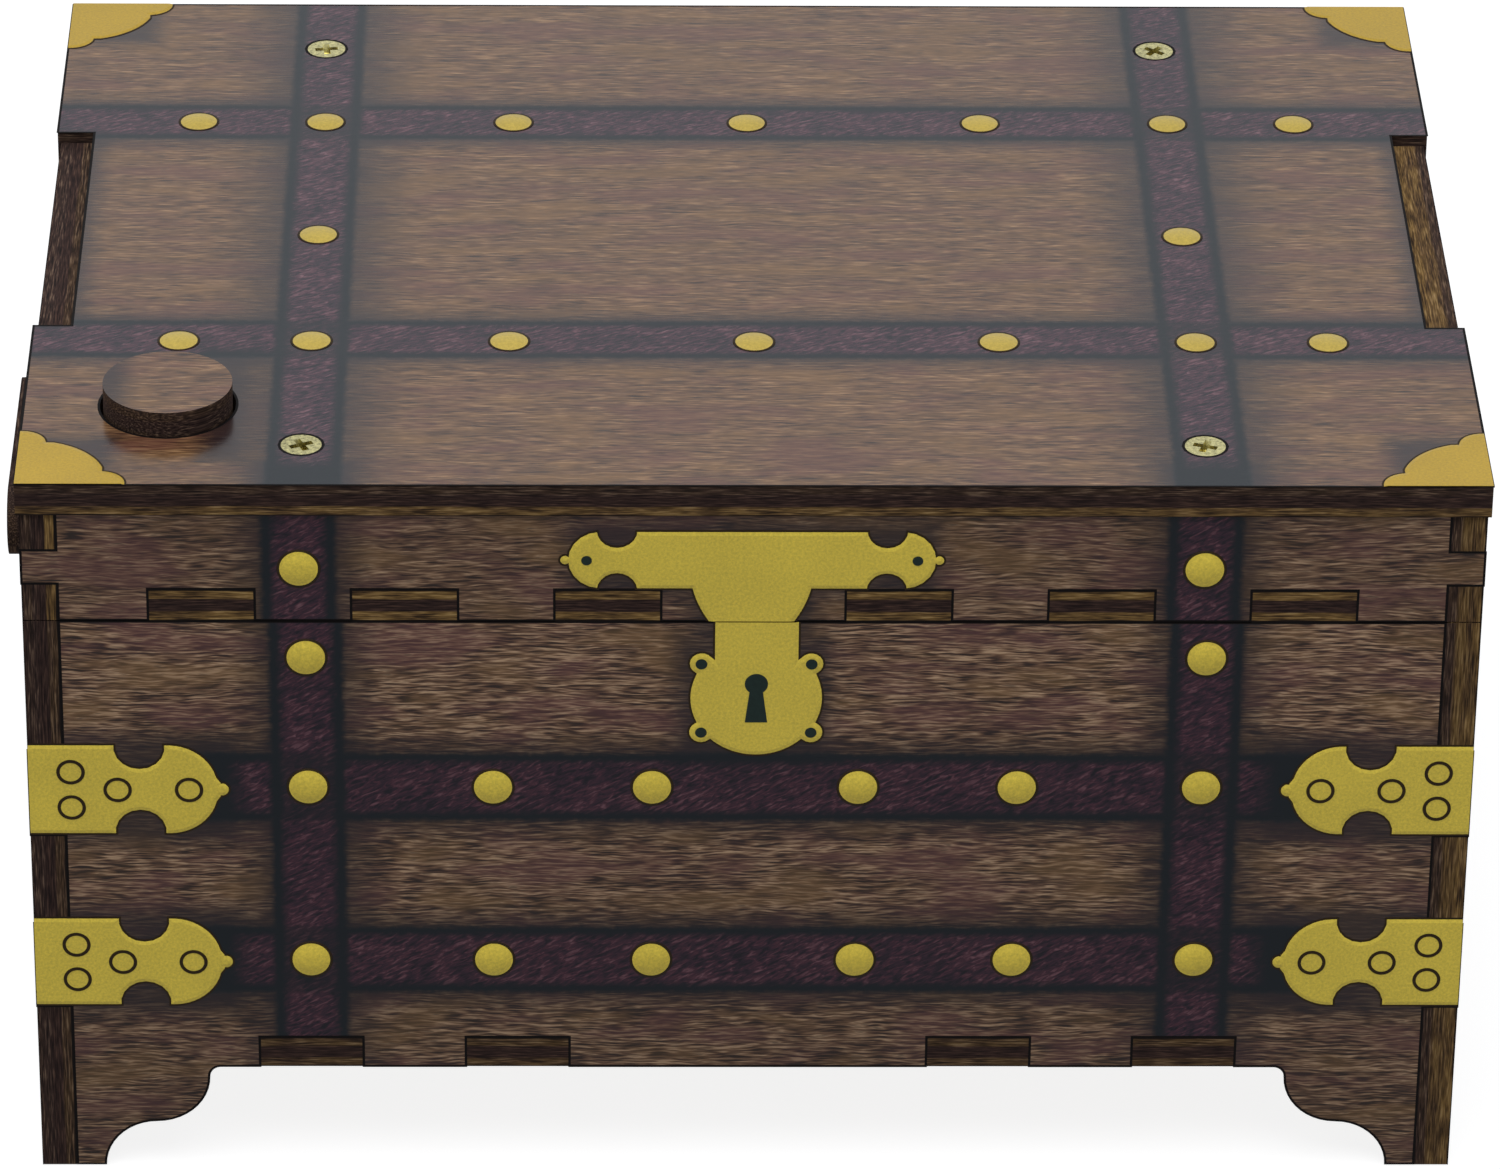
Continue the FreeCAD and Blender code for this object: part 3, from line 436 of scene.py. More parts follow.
def cut_edge(w, place, normal, face, soot_depth, scorch, core=1.0, mirrored=False):
    """The burnt edge of a sheet, by the depth below its face.

    Soot reaches in from the face, scorch darkens the pale plies and core the middle one. Edges that look up
    are scorched most. In a mirrored sheet they aren't, and its other edges take the soot from the back."""
    looks_up = w.smooth(w.dot(normal, (0, 0, 1)), 0.6, 0.8)
    depth = (face.level - w.dot(place, face.out)) / PLY
    if mirrored:
        depth = w.blend(looks_up, 1.0 - depth, depth)
    else:
        scorch = w.blend(looks_up, scorch, 0.9)
    runs = w.one("VectorMath", normal, face.out, operation="CROSS_PRODUCT")
    return w.group(PLY_EDGE, Depth=depth, Along=w.dot(place, runs), Soot_depth=soot_depth, Scorch=scorch,
                   Core=core)


def printed_ply(name, face, seed, columns=(), rows=(), row_reach=None, shaded=(), column_shade=WALL_SHADE,
                gloss=0.36, shine=0.16, soot_depth=0.4, scorch=0.3, core=1.0, mirrored=False, contrast=1.5,
                tint=PLAIN, painted_fall_of_light=False):
    """Plywood with the print on its outer face, bare birch inside and burnt cut edges.

    Columns and rows are the middles of its straps, and shaded the middles and half sizes of dark boxes.
    Where the fall of light is painted, painted shade makes it darker towards the feet and painted light
    lighter towards the seam."""
    material, w = new_material(name)
    place = w.place()
    normal = w.normal()
    across = w.dot(place, face.across)
    up = w.dot(place, face.up)
    facing = w.dot(normal, face.out)
    to_column = w.least([abs(across - column) for column in columns] or [FAR])
    to_row = w.least([abs(up - row) for row in rows] or [FAR])
    if row_reach:
        to_row = w.math("MAXIMUM", to_row, abs(across) - (row_reach - ROW_HALF))
    # Painted light and shade: lighter near the seam and darker towards the feet, as the wall is lit less
    # lower down.
    if painted_fall_of_light:
        tint = w.mix(w.smooth(up, 0.0, SEAM_Z), FOOT_SHADE_TINT, SEAM_LIGHT_TINT)
    to_shaded = w.least([box_distance(w, across, up, *box) for box in shaded] or [FAR])
    printed = w.group(CHEST_PRINT, Across=across, Up=up, Column_distance=to_column, Column_shade=column_shade,
                      Row_distance=to_row, Shaded_distance=to_shaded, Contrast=contrast, Tint=tint, Seed=seed)
    edge = cut_edge(w, place, normal, face, soot_depth, scorch, core, mirrored)
    birch = w.group(BIRCH, Along=across, Across=up, Seed=seed)
    is_print = w.smooth(facing, *SQUARE_ON)
    is_bare = w.smooth(facing * -1.0, *SQUARE_ON)
    unprinted = w.mix(is_bare, edge["Color"], birch["Color"])
    print_rough = printed["Height"] * 0.3 + (gloss - 0.15)
    print_shine = w.blend(printed["Ink"], shine, 0.7 * shine)
    height = w.blend(is_print, edge["Height"], printed["Height"])
    w.surface(Base_Color=w.mix(is_print, unprinted, printed["Color"]),
              Roughness=w.blend(is_print, EDGE_ROUGH, print_rough),
              Specular_IOR_Level=w.blend(is_print, EDGE_SHINE, print_shine),
              Normal=w.bump(height, 0.25, 0.05))
    return material


def bare_ply(name, face, seed, scorch=0.1):
    """Unprinted plywood sheet, one of whose sides is face."""
    material, w = new_material(name)
    place = w.place()
    normal = w.normal()
    edge = cut_edge(w, place, normal, face, -1.0, scorch)
    birch = w.group(BIRCH, Along=w.dot(place, face.across), Across=w.dot(place, face.up), Seed=seed)
    is_face = w.smooth(abs(w.dot(normal, face.out)), *SQUARE_ON)
    w.surface(Base_Color=w.mix(is_face, edge["Color"], birch["Color"]),
              Roughness=w.blend(is_face, EDGE_ROUGH, 0.6),
              Specular_IOR_Level=w.blend(is_face, EDGE_SHINE, 0.3),
              Normal=w.bump(w.blend(is_face, edge["Height"], birch["Height"]), 0.3, 0.05))
    return material


# Plain metals, woods, paints and cloths


def speckled(name, colour, scale, strength, rough, bump=None, **constants):
    """One colour with fine uneven tone.

    Rough is how much the tone adds to the roughness and what it adds to, and bump a strength and a depth."""
    material, w = new_material(name)
    toned = w.group(SPECKLE, Color=colour, Place=w.place(), Scale=scale, Strength=strength)
    w.surface(Base_Color=toned["Color"], Roughness=toned["Tone"] * rough[0] + rough[1], **constants)
    if bump:
        w.surface(Normal=w.bump(toned["Tone"], *bump))
    return material


def metal(name, colour, roughness, scale=1.6, unevenness=0.3):
    return speckled(name, colour, scale, unevenness, (0.3, roughness - 0.15), Metallic=1.0)


def printed_brass(name, *colour):
    """Flat brass colour of the print, with its fine grain."""
    return speckled(name, srgb(*colour), 3.0, 0.3, (0.3, 0.25), (0.2, 0.05), Specular_IOR_Level=0.3)


def ink(name, shine, *colour):
    return speckled(name, srgb(*colour), 2.0, 0.3, (0.3, 0.4), Specular_IOR_Level=shine)


def gloss_paint(name, *colour):
    return speckled(name, srgb(*colour), 0.8, 0.12, (0.16, 0.26), (0.1, 0.05), Coat_Weight=0.4,
                    Coat_Roughness=0.12)


def felt(name, *colour):
    """Pressed wool: matted fibres, soft at grazing angles."""
    return speckled(name, srgb(*colour), 3.5, 0.3, (0.0, 0.95), (0.6, 0.25), Specular_IOR_Level=0.15,
                    Sheen_Weight=0.25, Sheen_Roughness=0.5)


def turned_beech():
    material, w = new_material("turned_beech")
    split = w.wire(w.add("SeparateXYZ", w.place()))
    birch = w.group(BIRCH, Along=split["Z"], Across=split["X"], Seed=4.0)
    w.surface(Base_Color=w.mix(0.35, birch["Color"], srgb(196, 146, 98)), Specular_IOR_Level=0.4,
              Roughness=birch["Height"] * 0.2 + 0.4, Normal=w.bump(birch["Height"], 0.2, 0.05))
    return material


def from_axis(w, place):
    """Distance from the jack's upright axis, and the angle round it in turns."""
    split = w.wire(w.add("SeparateXYZ", w.one("VectorMath", place, (0, JACK_Y, 0), operation="SUBTRACT")))
    x, y = split["X"], split["Y"]
    return w.math("SQRT", x * x + y * y), w.math("ARCTAN2", y, x) / (2 * math.pi)


def cotton(w, weave, colour, thread, share, bump):
    """Feeds a matt woven surface, whose high threads show a little of another colour."""
    w.surface(Base_Color=w.mix(weave * share, colour, thread), Normal=w.bump(weave, *bump), Roughness=0.9,
              Specular_IOR_Level=0.15, Sheen_Weight=0.15)


def gown_cloth():
    """Cotton in stripes of two colours, with a pale cord between them."""
    material, w = new_material("gown_cloth")
    place = w.place()
    swing = w.math("SINE", from_axis(w, place)[1] * (2 * math.pi * GOWN_STRIPES))
    colour = w.mix(w.smooth(swing, -0.06, 0.06), srgb(132, 26, 34), srgb(206, 152, 44))
    colour = w.mix(w.smooth(abs(swing), 0.16, 0.10), colour, srgb(228, 214, 184))
    cotton(w, w.group(WOVEN, Place=place)["Height"], colour, srgb(60, 20, 20), 0.35, (0.5, 0.15))
    return material


def ruff_cloth():
    """Cream cotton with a red hem."""
    material, w = new_material("ruff_cloth")
    place = w.place()
    hem = w.smooth(from_axis(w, place)[0], RUFF_HEM - 0.1, RUFF_HEM + 0.1)
    colour = w.mix(hem, srgb(226, 212, 184), srgb(138, 28, 36))
    cotton(w, w.group(WOVEN, Place=place)["Height"], colour, srgb(120, 96, 70), 0.25, (0.4, 0.12))
    return material


CHEEK = Vector((0.56, -0.76, -0.3))     # from the head's middle, in head radii
BLUSH_OUT, BLUSH_IN = 4.4, 0.8          # where the blush begins and where it is full, from the cheek


def painted_head():
    """Satin paint on turned wood, with a soft blush on the cheeks."""
    material, w = new_material("painted_head")
    place = w.place()
    cheek = HEAD_MIDDLE + HEAD_R * CHEEK
    both_sides = w.one("VectorMath", place, operation="ABSOLUTE")
    gap = w.one("VectorMath", both_sides, [abs(part) for part in cheek], output="Value", operation="DISTANCE")
    toned = w.group(SPECKLE, Color=srgb(226, 178, 136), Place=place, Scale=0.9, Strength=0.08)
    blush = w.smooth(gap, BLUSH_OUT, BLUSH_IN) * 0.6
    w.surface(Base_Color=w.mix(blush, toned["Color"], srgb(206, 92, 78)), Roughness=toned["Tone"] * 0.2 + 0.3,
              Normal=w.bump(toned["Tone"], 0.1, 0.06), Coat_Weight=0.25, Coat_Roughness=0.3)
    return material


PRINT_BRASS = printed_brass("print_brass", 225, 200, 76)
TOP_BRASS = printed_brass("top_print_brass", 174, 143, 45)
TOP_STUD_BRASS = printed_brass("top_stud_brass", 182, 158, 72)
PRINT_INK = ink("print_ink", 0.1, 42, 31, 15)
HOLE_INK = ink("hole_ink", 0.1, 30, 43, 40)
BURN = ink("burnt_line", 0.05, 13, 10, 10)
BRASS = metal("brass", (0.62, 0.44, 0.16, 1), 0.32, 1.6, 0.5)
SCREW_BRASS = metal("screw_brass", (0.50, 0.45, 0.21, 1), 0.3, 2.2, 0.9)
STEEL = metal("spring_steel", (0.55, 0.56, 0.57, 1), 0.34)
BEECH = turned_beech()
RED_FELT = felt("red_felt", 136, 24, 34)
YELLOW_FELT = felt("yellow_felt", 210, 152, 36)
RED_GLOSS = gloss_paint("red_gloss", 178, 26, 30)
WHITE_GLOSS = gloss_paint("white_gloss", 232, 228, 216)
BLACK_GLOSS = gloss_paint("black_gloss", 30, 26, 26)

# Half sizes of the print's shaded boxes, after their middles where those are fixed
LOCK_BOXES = [((0, 83.2), (20.0, 3.6)), ((0, 77.5), (6.0, 3.5)),    # round the hasp
              ((0, 64.8), (7.6, 7.2)), ((0, 72.0), (5.0, 4.0))]     # and the lock plate
PLATE_BOX = (11.5, 6.0)     # round a corner plate
CORNER_BOX = (9.8, 9.8)     # round the top's brass corners
STRAP_END_BOX = (COLUMN_HALF, 4.0)  # over the front ends of the top's straps
EDGE_BOX = (30.0, -1.8)     # along the top's front edge, where only the outer part of the shade shows
BUTTON_BOX = (1.2, 12.0)    # on the top between the button and the left strap
BUTTON_BOX_GAP = 5.0        # from that strap's border
BUTTON_EDGE_BOX = (1.2, 9.0)        # at the button's left edge


def dress(material, *nodes):
    for node in nodes:
        slots = NODES[node].data.materials
        slots.clear()
        slots.append(material)


def dress_walls():
    straps = (-STRAP_X, STRAP_X)
    base_straps = [x + BASE_PRINT_SHIFT for x in straps]
    lid_straps = [x + LID_PRINT_SHIFT for x in straps]
    left_straps = [-row for row in TOP_ROWS]
    plates = [((side * (RIGHT_X - PLATE_BOX[0]), row), PLATE_BOX) for side in SIDES for row in PLATE_ROWS]
    dress(printed_ply("print_front", FRONT, 1.0, base_straps, WALL_ROWS, ROW_REACH, plates + LOCK_BOXES,
                      contrast=1.7, painted_fall_of_light=True), "base_front_wall")
    dress(printed_ply("print_lid_front", FRONT, 1.0, lid_straps, shaded=LOCK_BOXES, contrast=1.35),
          "lid_front_wall")
    dress(printed_ply("print_back", BACK, 2.0, straps, WALL_ROWS, ROW_REACH, plates),
          "base_back_wall", "lid_back_wall")
    dress(printed_ply("print_left", LEFT, 3.0, left_straps, WALL_ROWS, scorch=0.85), "base_left_wall")
    dress(printed_ply("print_lid_left", LEFT, 3.0, left_straps), "lid_left_wall")
    dress(printed_ply("print_right", RIGHT, 4.0, TOP_ROWS, WALL_ROWS, soot_depth=0.3, scorch=0.4, core=0.3,
                      mirrored=True), "base_right_wall", "lid_right_wall")
    dress(printed_ply("print_cover", LEFT.moved(-box_mm("pin_cover")[0].x), 6.0), "pin_cover")


def dress_top():
    straps = [x + TOP_PRINT_SHIFT for x in (-STRAP_X, STRAP_X)]
    button_low, button_high = box_mm("button_cap")
    button_y = (button_low.y + button_high.y) / 2
    notch_box = (PLY, (TOP_ROWS[0] - TOP_ROWS[1]) / 2 - ROW_HALF)
    shaded = [((side * RIGHT_X, sum(TOP_ROWS) / 2), notch_box) for side in SIDES]
    shaded += [((x, y), CORNER_BOX) for x in (TOP_LOW.x, TOP_HIGH.x) for y in (TOP_LOW.y, TOP_HIGH.y)]
    shaded += [((x, TOP_LOW.y), STRAP_END_BOX) for x in straps]
    shaded.append(((0, TOP_LOW.y), EDGE_BOX))
    shaded.append(((straps[0] - COLUMN_HALF - BUTTON_BOX_GAP, button_y), BUTTON_BOX))
    dress(printed_ply("print_top", TOP, 5.0, straps, TOP_ROWS, shaded=shaded, column_shade=TOP_SHADE,
                      gloss=0.2, shine=0.38, soot_depth=0.34, scorch=0.45, contrast=0.85, tint=TOP_TINT),
          "lid_top")
    dress(printed_ply("print_button", TOP.moved(button_high.z), 5.0,
                      shaded=[((button_low.x, button_y), BUTTON_EDGE_BOX)], gloss=0.25, shine=0.36,
                      soot_depth=1.2, contrast=0.95, tint=TOP_TINT), "button_cap")


def dress_inside():
    for node, seed, scorch in (("base_floor", 8, 0.75), ("lid_floor", 0, 0.3), ("spring_seat", 1, 0.1),
                               ("jack_platform", 2, 0.1), ("button_core", 3, 0.1), ("button_flange", 4, 0.1)):
        dress(bare_ply("ply_" + node, TOP.moved(box_mm(node)[1].z), seed, scorch), node)
    for seed, node in enumerate(("latch_lever", "latch_bracket")):
        dress(bare_ply("ply_" + node, RIGHT.moved(box_mm(node)[1].x), seed), node)
    dress(BEECH, "lid_posts", "seat_boss", "platform_boss", "neck_dowel", "head", "nose")
    dress(BRASS, "hinge_base_leaves", "hinge_lid_leaves", "hinge_pins", "lid_screws", "hinge_base_screws",
          "hinge_lid_screws", "cap_bells")
    dress(STEEL, "keeper_clip", "keeper_screws", "latch_pin", "latch_bushes", "latch_spring", "jack_spring")
    dress(RED_FELT, "jester_cap", "gown", "ruff_collar")


dress_walls()
dress_top()
dress_inside()


# Making pieces

WELD = 0.001                # vertices nearer than this are one
VERT, EDGE = bmesh.types.BMVert, bmesh.types.BMEdge


def finish_piece(name, bm, body, materials, smooth=False):
    """Puts a finished shape in the scene, riding on a body if one is named, with its finishes."""
    bmesh.ops.recalc_face_normals(bm, faces=bm.faces)
    mesh = bpy.data.meshes.new(name)
    bm.to_mesh(mesh)
    bm.free()
    for material in materials:
        mesh.materials.append(material)
    if smooth:
        mesh.shade_smooth()
    piece = bpy.data.objects.new(name, mesh)
    bpy.context.scene.collection.objects.link(piece)
    if body:
        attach(piece, body)
    return piece


def add_shape(bm, shape, matrix):
    """Moves a shape into place and joins it to bm."""
    bmesh.ops.transform(shape, matrix=matrix, verts=shape.verts)
    mesh = bpy.data.meshes.new("shape")
    shape.to_mesh(mesh)
    shape.free()
    bm.from_mesh(mesh)
    bpy.data.meshes.remove(mesh)


def moved_shape(shape, matrix):
    """A new shape that holds one shape, moved into place."""
    bm = bmesh.new()
    add_shape(bm, shape, matrix)
    return bm


def only(kind, items):
    return [item for item in items if isinstance(item, kind)]


def weld(shape):
    bmesh.ops.remove_doubles(shape, verts=shape.verts, dist=WELD)


def drop(shape, faces):
    bmesh.ops.delete(shape, geom=faces, context="FACES")


def coat(faces, index):
    """Gives faces one finish, by its place in the piece's list."""
    for face in faces:
        face.material_index = index


def face_up(shape):
    """Turns a flat shape's faces up, so that thickness is added below them."""
    shape.normal_update()
    bmesh.ops.reverse_faces(shape, faces=[face for face in shape.faces if face.normal.z < 0])


def solid(shape, thickness):
    bmesh.ops.solidify(shape, geom=shape.faces, thickness=thickness)
    return shape


class Pen:
    """Draws a closed outline in straight runs and arcs, and fills it."""

    def __init__(self, start):
        self.bm = bmesh.new()
        self.tip = self.bm.verts.new((*start, 0))

    def line(self, *points):
        for point in points:
            self.tip = bmesh.ops.extrude_vert_indiv(self.bm, verts=[self.tip])["verts"][0]
            self.tip.co = Vector((*point, 0))
        return self

    def arc(self, through, end, steps=10):
        """A round run from the pen's place through one point to another."""
        (x0, y0), (x1, y1), (x2, y2) = self.tip.co.xy, through, end
        twice = 2 * (x0 * (y1 - y2) + x1 * (y2 - y0) + x2 * (y0 - y1))
        squares = [x * x + y * y for x, y in ((x0, y0), (x1, y1), (x2, y2))]
        middle_x = (squares[0] * (y1 - y2) + squares[1] * (y2 - y0) + squares[2] * (y0 - y1)) / twice
        middle_y = (squares[0] * (x2 - x1) + squares[1] * (x0 - x2) + squares[2] * (x1 - x0)) / twice
        first = math.atan2(y0 - middle_y, x0 - middle_x)
        last = math.atan2(y2 - middle_y, x2 - middle_x)
        angle = (last - first) % (2 * math.pi) if twice > 0 else -((first - last) % (2 * math.pi))
        drawn = bmesh.ops.spin(self.bm, geom=[self.tip], cent=(middle_x, middle_y, 0), axis=(0, 0, 1),
                               angle=angle, steps=steps, use_merge=False)
        self.tip = only(VERT, drawn["geom_last"])[0]
        return self

    def fill(self, mirror=None):
        """Closes the outline, with its mirror image along the axis named by mirror, and fills it."""
        if mirror:
            bmesh.ops.mirror(self.bm, geom=self.bm.verts[:] + self.bm.edges[:], axis=mirror)
        weld(self.bm)
        bmesh.ops.contextual_create(self.bm, geom=self.bm.edges)
        return self.bm


def inset(shape, faces, thickness, depth=0.0):
    """Insets faces, lifts them by depth and gives back the band round them."""
    return bmesh.ops.inset_region(shape, faces=faces, thickness=thickness, depth=depth, use_boundary=True,
                                  use_even_offset=True)["faces"]


def cut_off(shape, point, direction):
    """Takes off what lies beyond a point, in a direction."""
    bmesh.ops.bisect_plane(shape, geom=shape.verts[:] + shape.edges[:] + shape.faces[:], plane_co=point,
                           plane_no=direction, clear_outer=True)


def disc(radius, segments=40):
    shape = bmesh.new()
    bmesh.ops.create_circle(shape, cap_ends=True, segments=segments, radius=radius)
    return shape


# Printed brass

INK_FINISH, HOLE_FINISH = 1, 2      # places in a printed piece's list of finishes, after its brass
INK_LINE = 0.24             # dark line round printed brass
RIM, RIM_RISE = 0.45, 0.1   # soft rim inside that line, and how far it lifts the middle
LIFT = 0.04                 # a printed layer's face above the sheet
OVER = LIFT + RIM_RISE + 0.04       # rings and keyholes lie on the printed plates
UNDER = 0.035               # and a plate's rounded tip a little below it
STUD_R = 2.52
STUD_LINE = 0.3             # dark line round a stud
STUD_DOME = ((0.45, 0.17), (0.5, 0.13), (0.6, 0.08))    # widths and rises of a stud's rings
FRONT_STUD_X = (12.0, 30.5, 52.0)
TOP_STUD_X = (28.8, 52.0, 67.6)
TOP_STUD_Y = (TOP_ROWS[0], TOP_ROWS[1] - 0.5)
TOP_MIDDLE_STUD_Y = MIDDLE_Y - 0.7
UPPER_STUD_Z = 70.2
LID_STUD_Z = 82.0


def inked(shape, *cuts, line=INK_LINE, rises=((RIM, RIM_RISE),)):
    """Gives a flat shape its dark outline, a soft rim and the thickness of a printed layer.

    The cuts, each a point and a direction, are where the sheet ends and the print with it."""
    face_up(shape)
    outline = inset(shape, shape.faces[:], line)
    coat(outline, INK_FINISH)
    middle = [face for face in shape.faces if face not in outline]
    for width, rise in rises:
        inset(shape, middle, width, rise)
    for point, direction in cuts:
        cut_off(shape, point, direction)
    return solid(shape, PRINT_T)


def dark(shape, index=INK_FINISH):
    coat(shape.faces, index)
    return solid(shape, PRINT_T)


def ring_shape(radius, width):
    """A flat dark ring."""
    shape = disc(radius)
    band = inset(shape, shape.faces[:], width)
    drop(shape, [face for face in shape.faces if face not in band])
    return dark(shape)


def at(face, across, up, lift=LIFT, flip=(1, 1)):
    return face.matrix(lift) @ Matrix.Translation((across, up, 0)) @ Matrix.Diagonal((*flip, 1, 1))


def print_brass(name, body, bm, *more, brass=PRINT_BRASS, smooth=False):
    finish_piece(name, bm, body, [brass, PRINT_INK, *more], smooth)


def studs(name, body, face, places, shift=0.0, brass=PRINT_BRASS):
    bm = bmesh.new()
    for across, up in places:
        stud = inked(disc(STUD_R), line=STUD_LINE, rises=STUD_DOME)
        add_shape(bm, stud, at(face, across + shift, up))
    print_brass(name, body, bm, brass=brass, smooth=True)


def make_studs():
    wall_row = [side * x for x in FRONT_STUD_X for side in SIDES]
    wall = [(x, row) for row in WALL_ROWS for x in wall_row]
    upper = [(side * STRAP_X, UPPER_STUD_Z) for side in SIDES]
    lid = [(side * STRAP_X, LID_STUD_Z) for side in SIDES]
    studs("front_studs", "base", FRONT, wall + upper, BASE_PRINT_SHIFT)
    studs("back_studs", "base", BACK, wall)
    studs("lid_front_studs", "lid", FRONT, lid, LID_PRINT_SHIFT)
    top_row = [0.0] + [side * x for x in TOP_STUD_X for side in SIDES]
    top = [(x, row) for row in TOP_STUD_Y for x in top_row]
    top += [(side * STRAP_X, TOP_MIDDLE_STUD_Y) for side in SIDES]
    studs("top_studs", "lid", TOP, top, TOP_PRINT_SHIFT, TOP_STUD_BRASS)
    for name, face, columns in (("left", LEFT, [-row for row in TOP_ROWS]), ("right", RIGHT, TOP_ROWS)):
        between = sum(columns) / 2
        side = [(column, row) for row in WALL_ROWS for column in (*columns, between)]
        studs(name + "_studs", "base", face, side + [(column, UPPER_STUD_Z) for column in columns])
        # The pin cover on the left takes the place of its front stud.
        lid_columns = columns[:1] if name == "left" else columns
        studs(f"lid_{name}_studs", "lid", face, [(column, LID_STUD_Z) for column in lid_columns])


PLATE_HALF = 6.2            # half the height of a corner plate
PLATE_REACH = 2.0           # how far its print ran over the corner before it was cut
PLATE_TIP_X, PLATE_TIP_R = 22.2, 1.05       # the small disc at its tip
PLATE_RIVETS = ((4.7, 2.4), (4.7, -2.4), (10.1, 0), (18.4, 0))
RIVET_R, RIVET_LINE = 1.66, 0.4


def corner_plate(corner):
    """Strap plate with two hollows and a rounded end, cut off at the chest's corner."""
    pen = Pen((22.3, 0)).line((22.3, 1.0), (21.8, 1.7)).arc((20.3, 4.4), (16.3, PLATE_HALF))
    pen.line((15.4, PLATE_HALF)).arc((12.7, 3.0), (10.0, PLATE_HALF))
    pen.line((-PLATE_REACH, PLATE_HALF), (-PLATE_REACH, 0))
    return inked(pen.fill("Y"), ((corner, 0, 0), (-1, 0, 0)))


def make_corner_plates():
    for name, face, shifts in (("front", FRONT, PLATE_SHIFTS), ("back", BACK, {-1: 0.0, 1: 0.0})):
        bm = bmesh.new()
        for side, shift in shifts.items():
            start = side * RIGHT_X + shift
            for row in PLATE_ROWS:
                add_shape(bm, corner_plate(side * shift), at(face, start, row, flip=(-side, 1)))
                add_shape(bm, inked(disc(PLATE_TIP_R)), at(face, start - side * PLATE_TIP_X, row, UNDER))
                for along, up in PLATE_RIVETS:
                    rivet = ring_shape(RIVET_R, RIVET_LINE)
                    add_shape(bm, rivet, at(face, start - side * along, row + up, OVER))
        print_brass(name + "_corner_plates", "base", bm)


HASP_MIDDLE = 83.2          # height of the hasp's bar
HASP_HALF = 3.95            # half the bar's height
HASP_NECK_HALF = 5.2
HASP_TIP_X, HASP_TIP_R = 21.45, 0.8         # the small discs at the bar's ends
HASP_HOLE_X, HASP_HOLE_R = 19.0, 0.62
SEAM_REACH = 1.5            # how far the hasp and the lock plate ran over the seam before it was cut
LOCK_Z = 64.85              # middle of the lock plate
LOCK_R = 7.85
LOCK_HOLE_R = 0.68
LOBE = 35.8                 # a lobe's direction from the middle, above or below level
LOBE_R = 1.6
NECK_HALF, NECK_FOOT = 5.05, LOCK_Z + 5.6   # half width of the lock plate's neck, and where it starts
HOLE_SEGMENTS = 20          # round the small holes and the hasp's tips


def hasp():
    """Bar with lobed ends and a neck down to the seam."""
    low, high = HASP_MIDDLE - HASP_HALF, HASP_MIDDLE + HASP_HALF
    lid_edge = box_mm("lid_front_wall")[0].z
    foot = lid_edge - SEAM_REACH
    pen = Pen((0, foot)).line((HASP_NECK_HALF, foot), (HASP_NECK_HALF, lid_edge))
    pen.arc((6.35, 77.3), (7.0, low)).line((13.4, low)).arc((15.5, low + 2.0), (17.6, low))
    pen.arc((21.35, HASP_MIDDLE), (17.6, high)).arc((15.5, high - 2.1), (13.4, high)).line((0, high))
    return inked(pen.fill("X"), ((0, lid_edge, 0), (0, -1, 0)))


def on_lock(degrees, radius=LOCK_R):
    angle = math.radians(degrees)
    return (radius * math.cos(angle), LOCK_Z + radius * math.sin(angle))


def lock_plate():
    """Round plate with four small lobes and a neck up to the seam."""
    spread = math.degrees(LOBE_R / LOCK_R)
    pen = Pen((0, LOCK_Z - LOCK_R)).arc(on_lock(290), on_lock(-LOBE - spread))
    pen.arc(on_lock(-LOBE, LOCK_R + LOBE_R), on_lock(spread - LOBE)).arc(on_lock(0), on_lock(LOBE - spread))
    pen.arc(on_lock(LOBE, LOCK_R + LOBE_R), (NECK_HALF, NECK_FOOT))
    pen.line((NECK_HALF, SEAM_Z + SEAM_REACH), (0, SEAM_Z + SEAM_REACH))
    return inked(pen.fill("X"), ((0, SEAM_Z, 0), (0, 1, 0)))


def keyhole():
    pen = Pen((0, LOCK_Z - 3.2)).line((1.3, LOCK_Z - 3.2), (0.78, LOCK_Z + 0.85))
    pen.arc((1.35, LOCK_Z + 1.95), (0, LOCK_Z + 3.3), 12)
    return dark(pen.fill("X"), HOLE_FINISH)


def hole(radius):
    return dark(disc(radius, HOLE_SEGMENTS), HOLE_FINISH)


def make_lock():
    bm = moved_shape(hasp(), at(FRONT, LID_PRINT_SHIFT, 0))
    for side in SIDES:
        tip = inked(disc(HASP_TIP_R, HOLE_SEGMENTS))
        add_shape(bm, tip, at(FRONT, side * HASP_TIP_X + LID_PRINT_SHIFT, HASP_MIDDLE, UNDER))
        add_shape(bm, hole(HASP_HOLE_R), at(FRONT, side * HASP_HOLE_X + LID_PRINT_SHIFT, HASP_MIDDLE, OVER))
    print_brass("lid_hasp", "lid", bm, HOLE_INK)
    bm = moved_shape(lock_plate(), at(FRONT, BASE_PRINT_SHIFT, 0))
    add_shape(bm, keyhole(), at(FRONT, BASE_PRINT_SHIFT, 0, OVER))
    for degrees in (LOBE, 180 - LOBE, 180 + LOBE, -LOBE):
        across, up = on_lock(degrees)
        add_shape(bm, hole(LOCK_HOLE_R), at(FRONT, across + BASE_PRINT_SHIFT, up, OVER))
    print_brass("lock_plate", "base", bm, HOLE_INK)


def scalloped_corner():
    """Brass corner with one large round between two small ones, cut off at the sheet's edges."""
    pen = Pen((-1, -1)).line((12.8, -1), (12.8, 0)).arc((12.0, 2.3), (10.1, 3.3), 8).line((10.1, 4.0))
    pen.arc((7.8, 7.8), (4.0, 10.1), 14).line((3.3, 10.1)).arc((2.3, 12.0), (0, 12.8), 8)
    pen.line((-1, 12.8), (-1, -1))
    return inked(pen.fill(), ((0, 0, 0), (-1, 0, 0)), ((0, 0, 0), (0, -1, 0)))


